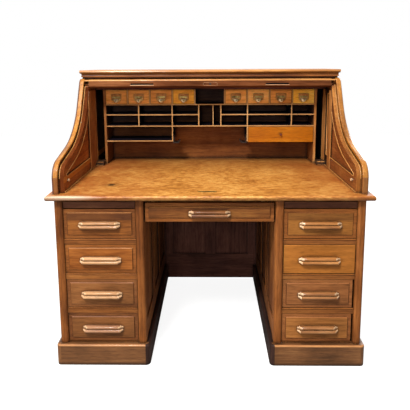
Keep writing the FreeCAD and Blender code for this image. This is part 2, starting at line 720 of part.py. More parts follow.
def linerPanel(side):
    outer = float(S.rollWidth) / 2 - float(S.sideThick)
    panelFar = outer - float(S.linerPanelSet)
    panelX = sideStart(side, panelFar - float(S.linerPanel), panelFar)
    panel = linerOpening(panelX, float(S.linerPanel))
    return feature(sideName[side].capitalize() + "LinerPanel", panel)


def stopPegs():
    pieces = []
    inner = S.rollWidth / 2 - S.sideThick - S.linerThick
    for side in (-1, 1):
        peg = doc.addObject("Part::Cylinder", "StopPeg%d" % (side + 2))
        bind(peg, "Radius", S.pegRadius)
        bind(peg, "Height", S.pegLong)
        peg.Placement = FreeCAD.Placement(V(0, 0, 0), FreeCAD.Rotation(V(0, 1, 0), 90))
        place(peg, inner - S.pegLong if side > 0 else -inner, front + S.footSetback + S.pegBack,
              S.writingHeight + S.pegRise)
        pieces.append(peg)
    subPart("stop_pegs", pieces)


# ---------------------------------------------------------------- tambour
curtainCorner = rollCorners(float(S.curtainSet), runHeight, 0.0)[3][0]
alongSteep = (math.cos(steep), math.sin(steep))
outFromSteep = (-math.sin(steep), math.cos(steep))


def steepPoint(along, out):
    return (curtainCorner[0] + along * alongSteep[0] + out * outFromSteep[0],
            curtainCorner[1] + along * alongSteep[1] + out * outFromSteep[1])


def liftRail():
    """The lift rail, with two finger grips, a lock seat and a pin at each end in the groove."""
    reach = float(S.rollWidth) / 2 - float(S.sideThick) - float(S.linerThick) - float(S.railEndGap)
    down, up = -float(S.railDown), float(S.railUp)
    back, proud = -float(S.railBack), float(S.railProud)
    crown = float(S.railRound)
    corners = [(steepPoint(down, back), 0.0), (steepPoint(down, proud), float(S.railLowRound)),
               (steepPoint(up, proud), crown), (steepPoint(up, back), 0.0)]
    shape = prism(-reach, 2 * reach, corners)
    deep = float(S.gripDeep)
    half = float(S.gripHigh) / 2
    for side in (-1, 1):
        middle = side * float(S.gripPlace)
        rise = down + float(S.gripRise)
        soft = float(S.gripRound)
        corners = [(steepPoint(rise - half, proud + 1), 0.0), (steepPoint(rise + half, proud + 1), 0.0),
                   (steepPoint(rise + half, proud - deep), soft),
                   (steepPoint(rise - half, proud - deep), soft)]
        shape = shape.cut(prism(middle - float(S.gripLong) / 2, float(S.gripLong), corners))
    for side in (-1, 1):
        root = at(side * (reach - float(S.pinRoot)), steepPoint(0.0, 0.0))
        pinLong = float(S.pinLong) + float(S.pinRoot)
        shape = shape.fuse(Part.makeCylinder(float(S.pinRadius), pinLong, root, V(side, 0, 0)))
    subPart("lift_rail", [feature("LiftRail", shape.removeSplitter())])
    lockMiddle = at(float(S.lockShift), steepPoint(down + float(S.lockRise), proud))
    longHalf = (float(S.lockLong) - float(S.lockHigh)) / 2
    radius = float(S.lockHigh) / 2
    out = V(0, outFromSteep[0], outFromSteep[1])
    up3 = V(0, alongSteep[0], alongSteep[1])
    left, right = lockMiddle - V(longHalf, 0, 0), lockMiddle + V(longHalf, 0, 0)
    wire = Part.Wire([
        Part.LineSegment(left + up3 * radius, right + up3 * radius).toShape(),
        Part.Arc(right + up3 * radius, right + V(radius, 0, 0), right - up3 * radius).toShape(),
        Part.LineSegment(right - up3 * radius, left - up3 * radius).toShape(),
        Part.Arc(left - up3 * radius, left - V(radius, 0, 0), left + up3 * radius).toShape(),
    ])
    plate = Part.Face(wire).extrude(out * float(S.lockThick))
    barrel = Part.makeCylinder(float(S.keyRadius), 2 * float(S.lockThick), lockMiddle, out)
    subPart("lift_rail_lock", [feature("LiftRailLock", plate.fuse(barrel).removeSplitter())])


def slatShape(y, z, lengthwise, reach):
    """One slat: flat underneath, rounded along both upper edges. Its run is along Y, or down Z."""
    wide = float(S.slatPitch) - float(S.slatGap)
    thick = float(S.slatThick)
    soft = float(S.slatRound)
    if lengthwise:
        corners = [((y, z), 0.0), ((y + wide, z), 0.0),
                   ((y + wide, z + thick), soft), ((y, z + thick), soft)]
    else:
        corners = [((y, z), 0.0), ((y, z - wide), 0.0),
                   ((y + thick, z - wide), soft), ((y + thick, z), soft)]
    return prism(-reach, 2 * reach, corners)


def railLink(side, reach):
    """A steel link along the ends of the front slats, turning on the pin of the lift rail."""
    thick = float(S.linkThick)
    half = float(S.linkHigh) / 2
    x = sideStart(side, reach, reach + thick)
    nose = curtainCorner[0] - half
    tail = nose + float(S.linkLong)
    noseRound = half - float(S.linkClear)
    corners = [((nose, runHeight - half), noseRound), ((tail, runHeight - half), 0.0),
               ((tail, runHeight + half), 0.0), ((nose, runHeight + half), noseRound)]
    eye = Part.makeCylinder(float(S.pinRadius) + float(S.linkClear), thick + 2,
                            V(x - 1, curtainCorner[0], runHeight), V(1, 0, 0))
    return feature("RailLink%d" % (side + 2), prism(x, thick, corners).cut(eye))


def tambour():
    pitch = float(S.slatPitch)
    low = runHeight - float(S.slatThick) / 2
    canvas = float(S.canvasThick)
    sideReach = float(S.rollWidth) / 2 - float(S.sideThick) - float(S.slatEndGap)
    frontReach = float(S.rollWidth) / 2 - float(S.sideThick) - float(S.linerThick) - float(S.railEndGap)
    frontReach += float(S.linkGap)
    canvasReach = frontReach - float(S.canvasSide)

    def backing(name, y, z, run):
        return board(name, -canvasReach, y, z, 2 * canvasReach, run, canvas)

    start = curtainCorner[0] + float(S.bendStart)
    slats = [feature("BendSlat%d" % i, slatShape(start + i * pitch, low, True, frontReach))
             for i in range(sizes["bendSlats"])]
    run = sizes["bendSlats"] * pitch - float(S.slatGap)
    slats.append(backing("BendCanvas", start, low - canvas, run))
    slats += [railLink(side, frontReach) for side in (-1, 1)]
    subPart("tambour_front_slats", slats)
    start += run + float(S.bendGap)
    tailY = rollRear - float(S.tailSet)
    count = int((tailY + float(S.slatThick) - start) / pitch)
    slats = [feature("RunSlat%d" % i, slatShape(start + i * pitch, low, True, sideReach))
             for i in range(count)]
    run = count * pitch - float(S.slatGap)
    slats.append(backing("RunCanvas", start, low - canvas, run))
    subPart("tambour_middle_slats", slats)
    top = low - float(S.tailDrop)
    tailReach = sideReach + float(S.slatEndGap)
    slats = [feature("TailSlat%d" % i, slatShape(tailY, top - i * pitch, False, tailReach))
             for i in range(sizes["tailSlats"])]
    subPart("tambour_tail_slats", slats)


# ---------------------------------------------------------------- roof and cornice
def roof():
    crest = rollCorners(0.0, sideTop, 0.0)[3][0][0]
    frontY = crest + float(S.roofSetback)
    half = S.rollWidth / 2
    rearY = rear - S.roofInset
    foot = S.writingHeight + S.sideHigh + S.bedHigh
    run = rearY - frontY
    step, drop = S.ogeeStep, S.ogeeDrop
    body = doc.addObject("PartDesign::Body", "RoofBody")
    section = [(frontY, foot + S.roofThick - drop), (frontY + step * 0.35, foot + S.roofThick - drop * 0.3),
               (frontY + step, foot + S.roofThick), (rearY, foot + S.roofThick), (rearY, foot),
               (frontY + step * 1.4, foot), (frontY + step * 0.9, foot + drop * 0.45),
               (frontY + step * 0.15, foot + drop * 0.8)]
    sketch = sketchOn(body, "RoofSection", "YZ_Plane", section, -half)
    pad(body, sketch, "RoofSlab", 2 * half)
    subPart("roof_board", [body])
    bed = doc.addObject("PartDesign::Body", "BedBody")
    bedY = frontY + S.bedStep
    low = S.writingHeight + S.sideHigh
    lip = low + S.bedLift
    bedRear = rear - S.rollInset - S.backThick
    section = [(bedY + S.bedRecess, low), (bedY + S.bedRecess, lip), (bedY - S.bedFillet, lip),
               (bedY - S.bedFillet, lip + S.bedFillet), (bedY, lip + S.bedFillet),
               (bedY + S.bedFillet * 0.3, lip + S.bedFillet * 2), (bedY - S.bedFillet * 0.7, foot),
               (bedRear, foot), (bedRear, low)]
    inset = S.ogeeStep
    sketch = sketchOn(bed, "BedSection", "YZ_Plane", section, -(half - inset))
    pad(bed, sketch, "BedSlab", 2 * (half - inset))
    subPart("cornice_bed", [bed])


# ---------------------------------------------------------------- back of the roll section
def rollBack():
    half = S.rollWidth / 2 - S.sideThick
    y = rear - S.rollInset - S.backThick
    foot = S.writingHeight
    top = S.writingHeight + S.sideHigh
    high = top - foot - 2 * S.backRail
    bay = (2 * half - 2 * S.backStile - 2 * S.backMuntin) / 3
    pieces = [
        board("BackLowRail", -half, y, foot, 2 * half, S.backThick, S.backRail),
        board("BackTopRail", -half, y, top - S.backRail, 2 * half, S.backThick, S.backRail),
        board("BackStileA", -half, y, foot + S.backRail, S.backStile, S.backThick, high),
        board("BackStileB", half - S.backStile, y, foot + S.backRail, S.backStile, S.backThick, high),
    ]
    x = -half + S.backStile
    for number in range(3):
        panelY = y + (S.backThick - S.backPanel) / 2
        pieces.append(board("BackPanel%d" % number, x, panelY, foot + S.backRail, bay, S.backPanel, high))
        x = x + bay
        if number < 2:
            pieces.append(board("BackMuntin%d" % number, x, y, foot + S.backRail, S.backMuntin,
                                S.backThick, high))
            x = x + S.backMuntin
    subPart("roll_back", pieces)


# ---------------------------------------------------------------- pigeonhole gallery
galleryFront = rear - S.rollInset - S.galleryRearGap - S.galleryDeep
linerFace = S.rollWidth / 2 - S.sideThick - S.linerThick
galleryReach = linerFace - S.sideSlot
galleryInner = galleryReach - S.gallerySide
leftDivider = -galleryInner + S.leftHoleWide + S.shelfThick / 2
rightDivider = galleryInner - S.rightHoleWide - S.shelfThick / 2
shelfDeep = S.galleryDeep - S.galleryBack
upperFloor = S.writingHeight + S.upperShelf
bayWide = (galleryInner - S.centreBay / 2 - 4 * S.shelfThick) / 4


def shelfLevel(rise):
    return S.writingHeight + rise


def galleryCase():
    pieces = []
    high = S.galleryHigh - S.galleryTop
    for side in (-1, 1):
        pieces.append(sideBoard("GallerySide%d" % (side + 2), side, galleryInner, galleryReach,
                                galleryFront, S.writingHeight, S.galleryDeep, high))
        pieces.append(sideBoard("SlotSill%d" % (side + 2), side, galleryReach, linerFace,
                                galleryFront - S.slotSillDeep + S.slotSillLap, S.writingHeight,
                                S.slotSillDeep, S.slotSillHigh))
    pieces.append(board("GalleryTop", -linerFace, galleryFront - S.galleryTopProud, S.writingHeight + high,
                        2 * linerFace, S.galleryDeep + S.galleryTopProud, S.galleryTop))
    pieces.append(board("GalleryBack", -galleryInner, galleryFront + shelfDeep, S.writingHeight,
                        2 * galleryInner, S.galleryBack, high))
    subPart("gallery_case", pieces)


def galleryShelves():
    half = S.shelfThick / 2
    pieces = []

    def shelf(name, left, right, rise, setBack=0.0):
        pieces.append(board(name, left, galleryFront + setBack, shelfLevel(rise), right - left,
                            shelfDeep - setBack, S.shelfThick))

    shelf("UpperShelf", -galleryInner, galleryInner, S.upperShelf)
    inner = S.innerDivider
    shelf("LowShelfLeft", -galleryInner, -inner - half, S.lowShelf)
    shelf("LowShelfMiddle", -inner + half, inner - half, S.lowShelf)
    shelf("LowShelfRight", inner + half, galleryInner, S.lowShelf)
    stops = [-galleryInner - half, leftDivider, -inner, -S.penDivider]
    for i in range(3):
        shelf("MiddleShelfLeft%d" % i, stops[i] + half, stops[i + 1] - half, S.middleShelf)
    stops = [S.penDivider, inner, rightDivider, galleryInner + half]
    for i in range(3):
        shelf("MiddleShelfRight%d" % i, stops[i] + half, stops[i + 1] - half, S.middleShelf)
    shelf("BaseShelfLeft", -galleryInner, -inner - half, S.baseShelf)
    shelf("BaseShelfRight", inner + half, galleryInner, S.baseShelf, S.wideFront + S.wideShelfGap)
    subPart("gallery_shelves", pieces)


def galleryDividers():
    half = S.shelfThick / 2
    pieces = []

    def upright(name, middle, low, high, thick=S.shelfThick):
        pieces.append(board(name, middle - thick / 2, galleryFront, low, thick, shelfDeep, high - low))

    floor = shelfLevel(S.lowShelf) + S.shelfThick
    roofLine = shelfLevel(S.upperShelf)
    upright("DividerLeft", leftDivider, floor, roofLine)
    upright("DividerRight", rightDivider, floor, roofLine)
    upright("PenDividerLeft", -S.penDivider, floor, roofLine)
    upright("PenDividerRight", S.penDivider, floor, roofLine)
    upright("PenSplit", S.penSplit, floor, roofLine, S.penSplitThick)
    for side in (-1, 1):
        upright("InnerDivider%d" % (side + 2), side * S.innerDivider, shelfLevel(S.baseShelf), roofLine)
    drawerFloor = upperFloor + S.shelfThick
    drawerRoof = S.writingHeight + S.galleryHigh - S.galleryTop
    for side in (-1, 1):
        for i in range(4):
            near = S.centreBay / 2 + i * (bayWide + S.shelfThick)
            upright("BayDivider%d_%d" % (side + 2, i), side * (near + half), drawerFloor, drawerRoof)
    subPart("gallery_dividers", pieces)


def galleryBrackets():
    """A small upturned bracket at the foot of each inner divider."""
    pieces = []
    for side in (-1, 1):
        body = doc.addObject("PartDesign::Body", "Bracket%d" % (side + 2))
        wide, high, lip = S.bracketWide, S.bracketHigh, S.bracketLip
        corners = [(0.0, 0.0), (wide * 0.8, 0.0), (wide, high * 0.3), (wide * 0.9, high * 0.42),
                   (wide * 0.66, lip), (lip, lip), (lip, high), (0.0, high)]
        if side > 0:
            corners = [(-a, b) for a, b in corners]
        outline = sketchOn(body, "BracketOutline%d" % (side + 2), "XZ_Plane", corners)
        pad(body, outline, "BracketPad%d" % (side + 2), S.galleryDeep / 3)
        inner = S.innerDivider - S.shelfThick / 2
        place(body, side * inner, galleryFront + S.galleryDeep / 3, shelfLevel(S.baseShelf) - S.bracketDrop)
        pieces.append(body)
    subPart("gallery_brackets", pieces)


def cardHolder(name, x, y, z):
    """A brass card holder frame with a pull lug, as one solid on the drawer's face."""
    wide, high, thick = float(S.holderWide), float(S.holderHigh), float(S.holderThick)
    rim = float(S.holderRim)
    plate = Part.makeBox(wide, thick, high, V(x - wide / 2, y - thick, z))
    window = Part.makeBox(wide - 2 * rim, thick / 2, high - 2 * rim,
                          V(x - wide / 2 + rim, y - thick, z + float(S.holderSill)))
    shape = plate.cut(window)
    radius = float(S.lugRadius)
    level = z - radius * 0.3
    stem = Part.makeCylinder(radius * 0.5, float(S.lugProud), V(x, y - thick / 2, level), V(0, -1, 0))
    knob = Part.makeSphere(radius, V(x, y - float(S.lugProud), level))
    seat = Part.makeCylinder(radius * 1.1, thick, V(x, y, level), V(0, -1, 0))
    return feature(name, shape.fuse([seat, stem, knob]).removeSplitter())


def smallDrawer(side, number):
    """Gallery drawers; number 1 is the outermost of its side."""
    slot = 4 - number
    near = S.centreBay / 2 + (slot + 1) * S.shelfThick + slot * bayWide
    name = "%sSmall%d" % (sideName[side].capitalize(), number)
    wide = bayWide - 2 * S.smallGap
    middle = side * (near + bayWide / 2)
    floor = upperFloor + S.shelfThick
    high = S.galleryHigh - S.galleryTop - S.upperShelf - S.shelfThick - 2 * S.smallGap
    faceBack = galleryFront + S.smallSet + S.smallFront
    face = board(name + "FaceBlank", middle - wide / 2, galleryFront + S.smallSet, floor + S.smallGap,
                 wide, S.smallFront, high)
    faceY = float(galleryFront + S.smallSet) + 0.1
    face = rounded(name + "Face", face, S.faceEase, lambda point, way: point.y < faceY)
    boards = boxBoards(name, middle - wide / 2 + S.smallGap, faceBack, floor + S.runClear,
                       wide - 2 * S.smallGap, S.smallDeep, S.smallBoxHigh, S.smallBox, S.smallFloor)
    holder = cardHolder(name + "Holder", float(middle), float(galleryFront + S.smallSet),
                        float(floor + S.lugRise))
    subPart("%s_small_drawer_%d" % (sideName[side], number), [face] + boards + [holder])


def wideDrawer():
    left = S.innerDivider + S.shelfThick / 2 + S.wideGap
    right = galleryInner - S.wideGap
    foot = shelfLevel(S.baseShelf) - S.wideLap
    top = shelfLevel(S.lowShelf) - S.wideGap
    y = galleryFront + S.smallSet
    face = board("WideFaceBlank", left, y, foot, right - left, S.wideFront, top - foot)
    faceY = float(y) + 0.1
    face = rounded("WideFace", face, S.faceEase, lambda point, way: point.y < faceY)
    floor = shelfLevel(S.baseShelf) + S.shelfThick + S.runClear
    boards = boxBoards("WideBox", left + S.wideGap, y + S.wideFront, floor, right - left - 2 * S.wideGap,
                       S.wideDeep, S.wideBoxHigh, S.smallBox, S.smallFloor)
    knob = doc.addObject("Part::Cylinder", "WideKnob")
    bind(knob, "Radius", S.wideKnob)
    bind(knob, "Height", S.lugProud)
    knob.Placement = FreeCAD.Placement(V(0, 0, 0), FreeCAD.Rotation(V(1, 0, 0), 90))
    place(knob, (left + right) / 2, y, (foot + top) / 2)
    subPart("wide_gallery_drawer", [face] + boards + [knob])


def build():
    writingTop()
    for side in (-1, 1):
        pedestalFrame(side)
        pedestalPanels(side)
        pedestalRails(side)
        plinth(side)
        for number in (1, 2, 3, 4):
            pedestalDrawer(side, number)
        writingSlide(side)
        rollSide(side)
        rollLiner(side)
        for number in (1, 2, 3, 4):
            smallDrawer(side, number)
    subPart("liner_panels", [linerPanel(-1), linerPanel(1)])
    centreDrawer()
    kneeBack()
    stopPegs()
    liftRail()
    tambour()
    roof()
    rollBack()
    galleryCase()
    galleryShelves()
    galleryDividers()
    galleryBrackets()
    wideDrawer()
    doc.recompute()


def checkDocument():
    for item in doc.Objects:
        for state in item.State:
            if state in ("Invalid", "Error"):
                raise RuntimeError("%s is %s" % (item.Label, state))
    for item in subParts:
        shape = item.Shape
        if shape.isNull() or not shape.isValid():
            raise RuntimeError("bad shape: " + item.Label)


def writeParts():
    os.makedirs("parts", exist_ok=True)
    for item in subParts:
        item.Shape.exportStep("parts/%s.step" % item.Label)
    box = Part.makeCompound([item.Shape for item in subParts]).BoundBox
    print("sub-parts: %d, box X %.1f to %.1f, Y %.1f to %.1f, Z %.1f to %.1f"
          % (len(subParts), box.XMin, box.XMax, box.YMin, box.YMax, box.ZMin, box.ZMax))
    print("tambour corner Y %.3f Z %.3f, steep direction %.6f %.6f"
          % (curtainCorner[0], curtainCorner[1], alongSteep[0], alongSteep[1]))


build()
checkDocument()
writeParts()
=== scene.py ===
import json
import math
import bpy
import bmesh
from types import SimpleNamespace
from mathutils import Matrix, Vector


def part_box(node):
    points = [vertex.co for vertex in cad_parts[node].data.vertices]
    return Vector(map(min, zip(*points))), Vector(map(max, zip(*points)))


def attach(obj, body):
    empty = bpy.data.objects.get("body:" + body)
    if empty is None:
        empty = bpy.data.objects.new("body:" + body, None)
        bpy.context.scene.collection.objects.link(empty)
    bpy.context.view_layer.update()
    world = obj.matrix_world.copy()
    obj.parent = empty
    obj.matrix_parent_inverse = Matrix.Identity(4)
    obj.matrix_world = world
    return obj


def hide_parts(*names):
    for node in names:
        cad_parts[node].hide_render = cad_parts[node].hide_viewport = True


# an old oak roll-top desk: varnished boards, carved wooden pulls, a few brass fittings
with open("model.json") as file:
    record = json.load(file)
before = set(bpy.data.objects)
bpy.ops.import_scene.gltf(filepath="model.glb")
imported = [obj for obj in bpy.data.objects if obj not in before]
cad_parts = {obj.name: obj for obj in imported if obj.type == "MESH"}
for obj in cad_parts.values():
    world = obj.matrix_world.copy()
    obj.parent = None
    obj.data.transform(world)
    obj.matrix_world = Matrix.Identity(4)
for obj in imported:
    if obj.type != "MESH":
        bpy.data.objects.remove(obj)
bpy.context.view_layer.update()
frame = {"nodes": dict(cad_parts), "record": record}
nodes = frame["nodes"]
record = frame["record"]
mm = 0.001
sides = {"left": -1, "right": 1}
print("frame loaded:", len(nodes), "nodes")


def linear(colour):  # a 0-255 colour as the linear values that shaders want
    return tuple((c / 255 / 12.92) if c / 255 <= 0.04045 else ((c / 255 + 0.055) / 1.055) ** 2.4
                 for c in colour) + (1.0,)


def shade(colour, factor):  # darker below 1, paler above
    return [min(255, c * factor) for c in colour]


class Sock:  # a socket that takes part in ordinary sums
    def __init__(self, shop, socket):
        self.shop = shop
        self.socket = socket

    def sum(self, operation, a, b):
        return self.shop.node("ShaderNodeMath", {"operation": operation}, {0: a, 1: b})

    def __add__(self, other):
        return self.sum("ADD", self, other)

    def __radd__(self, other):
        return self.sum("ADD", other, self)

    def __sub__(self, other):
        return self.sum("SUBTRACT", self, other)

    def __rsub__(self, other):
        return self.sum("SUBTRACT", other, self)

    def __mul__(self, other):
        return self.sum("MULTIPLY", self, other)

    def __rmul__(self, other):
        return self.sum("MULTIPLY", other, self)

    def span(self, low, high, outLow=0.0, outHigh=1.0):  # low..high to outLow..outHigh, clamped
        return self.shop.node("ShaderNodeMapRange", {"clamp": True},
                              {0: self, 1: low, 2: high, 3: outLow, 4: outHigh})


class Shop:  # where one material is made
    def __init__(self, name):
        self.material = bpy.data.materials.new(name)
        self.material.use_nodes = True
        self.tree = self.material.node_tree
        self.shader = self.tree.nodes["Principled BSDF"]

    def node(self, kind, settings=None, inputs=None, output=0):
        item = self.tree.nodes.new(kind)
        for key, value in (settings or {}).items():
            if key == "stops":
                ramp = item.color_ramp
                while len(ramp.elements) < len(value):
                    ramp.elements.new(0.5)
                for stop, (place, colour) in zip(ramp.elements, value):
                    stop.position = place
                    stop.color = colour
            else:
                setattr(item, key, value)
        for key, value in (inputs or {}).items():
            self.feed(item.inputs[key], value)
        return Sock(self, item.outputs[output])

    def feed(self, socket, value):
        if isinstance(value, Sock):
            self.tree.links.new(value.socket, socket)
        else:
            socket.default_value = value

    def mix(self, factor, a, b):
        return self.node("ShaderNodeMix", {"data_type": "RGBA"}, {0: factor, 6: a, 7: b}, output=2)

    def move(self, vector, by, operation="ADD"):
        return self.node("ShaderNodeVectorMath", {"operation": operation}, {0: vector, 1: by})

    def noise(self, vector, scale, detail=2.0, rough=0.5, twist=0.0):
        return self.node("ShaderNodeTexNoise", None, {"Vector": vector, "Scale": scale, "Detail": detail,
                                                      "Roughness": rough, "Distortion": twist})

    def split(self, vector):
        parts = self.tree.nodes.new("ShaderNodeSeparateXYZ")
        self.feed(parts.inputs[0], vector)
        return [Sock(self, output) for output in parts.outputs]

    def spot(self, place, centre, reach):  # 0 at the centre, 1 on an ellipsoid with these reaches
        off = self.move(place, centre, "SUBTRACT")
        scaled = self.move(off, [1 / r for r in reach], "MULTIPLY")
        return self.node("ShaderNodeVectorMath", {"operation": "LENGTH"}, {0: scaled}, output="Value")

    def finish(self, values):
        for key, value in values.items():
            self.feed(self.shader.inputs[key], value)
        return self.material


# oak
grainStretch = {"x": (0.07, 1.0, 1.0), "y": (1.0, 0.07, 1.0), "z": (1.0, 1.0, 0.07)}
oakLook = {
    "luck": (3.7, 2.3, 5.1),  # how far the pattern moves from one piece to the next
    "ringScale": 8.0, "ringTwist": 0.35, "ringCount": 13.0, "ringPart": 0.20,
    "streakScale": 110.0, "streakPart": 0.34, "broadScale": 3.6, "broadPart": 0.46,
    "poreScale": 420.0, "poreSpan": (0.36, 0.47), "poreDepth": 0.30, "poreDark": 0.45,
    "spread": (0.3, 0.7),  # nearly all of a noise lies in this span
    "stops": (0.10, 0.52, 0.95),  # where dark, mid and light sit
    "rough": 0.44, "roughSpread": 0.16, "roughPores": 0.15,
    "bump": 0.22, "bumpReach": 0.0006, "relief": {"streak": 0.25, "pores": 0.5, "rings": 0.10},
    "wearRadius": 0.0022, "wearAmount": 0.6, "wearSpan": (0.35, 0.62), "wearPale": 1.22,
    "grimeScale": 5.0, "grimeSpan": (0.48, 0.74), "grimeDark": 0.7,
    # painted shade, with some dirt, in gaps and inner corners
    "creviceReach": 0.015, "creviceAmount": 0.92, "creviceDark": 0.22,
    # a painted highlight on rounded upper edges, and painted shade beyond a depth
    "ridgeHighlight": 1.25, "deepSoft": 0.012, "deepTone": (20, 10, 6), "bandSoft": 0.0012,
    "coatRough": 0.16, "shine": 0.2,
}


def oakMaps(shop, stretch, shift=0.0):  # the maps that every oak finish shares
    look = oakLook
    place = shop.node("ShaderNodeTexCoord", output="Object")
    luck = shop.node("ShaderNodeObjectInfo", output="Random")
    farX, farY, farZ = look["luck"]
    away = shop.node("ShaderNodeCombineXYZ", None,
                     {0: luck * farX + shift, 1: luck * farY, 2: luck * farZ + shift})
    moved = shop.move(place, away)
    along = shop.move(moved, stretch, "MULTIPLY")
    flame = shop.noise(along, look["ringScale"], 2.0, 0.45, look["ringTwist"])
    rings = shop.node("ShaderNodeMath", {"operation": "PINGPONG"}, {0: flame * look["ringCount"], 1: 1.0})
    return SimpleNamespace(
        place=place, moved=moved, rings=rings,
        streak=shop.noise(along, look["streakScale"], 3.0, 0.6),
        pores=shop.noise(along, look["poreScale"], 1.5).span(*look["poreSpan"], 1.0, 0.0),
        broad=shop.noise(moved, look["broadScale"], 2.0),
        grime=shop.noise(place, look["grimeScale"], 4.0, 0.62))


def crevice(shop, reach):  # 1 in gaps and inner corners, 0 on open faces
    near = shop.node("ShaderNodeAmbientOcclusion", {"samples": 2}, {"Distance": reach}, output="AO")
    return near.span(0.42, 0.94, 1.0, 0.0)


def wornEdge(shop, radius):  # 1 along the sharp outer edges
    soft = shop.node("ShaderNodeBevel", {"samples": 2}, {"Radius": radius})
    facing = shop.node("ShaderNodeNewGeometry", output="Normal")
    straight = shop.node("ShaderNodeVectorMath", {"operation": "DOT_PRODUCT"}, {0: soft, 1: facing},
                         output="Value")
    return straight.span(0.97, 0.80)


def toneRamp(shop, stops, tones, value):
    return shop.node("ShaderNodeValToRGB",
                     {"stops": [(stop, linear(tone)) for stop, tone in zip(stops, tones)]}, {0: value})


def oak(name, axis, dark, mid, light, gloss=1.0, wear=1.0, grime=0.3, coat=0.0, ridge=0.0,
        deep=None, levels=None, dirtAndShade=1.0, shine=oakLook["shine"], shift=0.0):
    look, shop = oakLook, Shop(name + "_" + axis)
    maps = oakMaps(shop, grainStretch[axis], shift)
    tone = maps.rings * look["ringPart"] + maps.streak.span(*look["spread"]) * look["streakPart"] \
        + maps.broad.span(*look["spread"]) * look["broadPart"]
    wood = toneRamp(shop, look["stops"], (dark, mid, light), tone)
    pitted = shop.mix(maps.pores * look["poreDepth"], wood, linear(shade(dark, look["poreDark"])))
    edge = wornEdge(shop, look["wearRadius"]) * maps.grime.span(*look["wearSpan"])
    worn = shop.mix(edge * (look["wearAmount"] * wear), pitted, linear(shade(light, look["wearPale"])))
    handled = shop.mix(maps.grime.span(*look["grimeSpan"]) * grime, worn,
                       linear(shade(dark, look["grimeDark"])))
    # painted shade, with some dirt: gaps and inner corners are painted dark
    creviceDirtAndShade = crevice(shop, look["creviceReach"]) * (look["creviceAmount"] * dirtAndShade)
    shadedColour = shop.mix(creviceDirtAndShade, handled, linear(shade(dark, look["creviceDark"])))
    if ridge:  # painted highlight: rounded upper edges that face forward are painted pale
        inward, upward = shop.split(shop.node("ShaderNodeNewGeometry", output="Normal"))[1:]
        highlightMask = upward.span(0.15, 0.5) * upward.span(0.85, 0.99, 1.0, 0.0) * inward.span(-0.1, -0.3)
        shadedColour = shop.mix(highlightMask * ridge * maps.grime.span(0.3, 0.6, 0.4, 1.0), shadedColour,
                           linear(shade(light, look["ridgeHighlight"])))
    if deep:  # painted shade: beyond these depths the wood is painted dark, where little light reaches
        depth = shop.split(maps.place)[1]
        for near, strength in deep:
            unlit = depth.span(near, near + look["deepSoft"], 0.0, strength)
            shadedColour = shop.mix(unlit, shadedColour, linear(look["deepTone"]))
    if levels:  # bands between two heights, painted paler or darker, and repeated where there is a pitch; several are painted shade
        height, soft = shop.split(maps.place)[2], look["bandSoft"]
        for foot, head, pitch, strength, colour in levels:
            over, wide = height - foot, head - foot
            if pitch:
                over = shop.node("ShaderNodeMath", {"operation": "FLOORED_MODULO"}, {0: over, 1: pitch})
            band = over.span(0.0, soft) * over.span(wide, wide + soft, 1.0, 0.0)
            shadedColour = shop.mix(band * strength, shadedColour, linear(colour))
    rough = maps.grime.span(*look["spread"], look["rough"] - look["roughSpread"] * 0.5,
                            look["rough"] + look["roughSpread"]) + maps.pores * look["roughPores"]
    relief = maps.streak * look["relief"]["streak"] - maps.pores * look["relief"]["pores"] \
        + maps.rings * look["relief"]["rings"]
    bump = shop.node("ShaderNodeBump", None,
                     {"Strength": look["bump"], "Distance": look["bumpReach"], "Height": relief})
    return shop.finish({"Base Color": shadedColour, "Roughness": rough * (1.0 / gloss), "Normal": bump,
                        "Coat Weight": coat, "Coat Roughness": look["coatRough"],
                        "Specular IOR Level": shine})
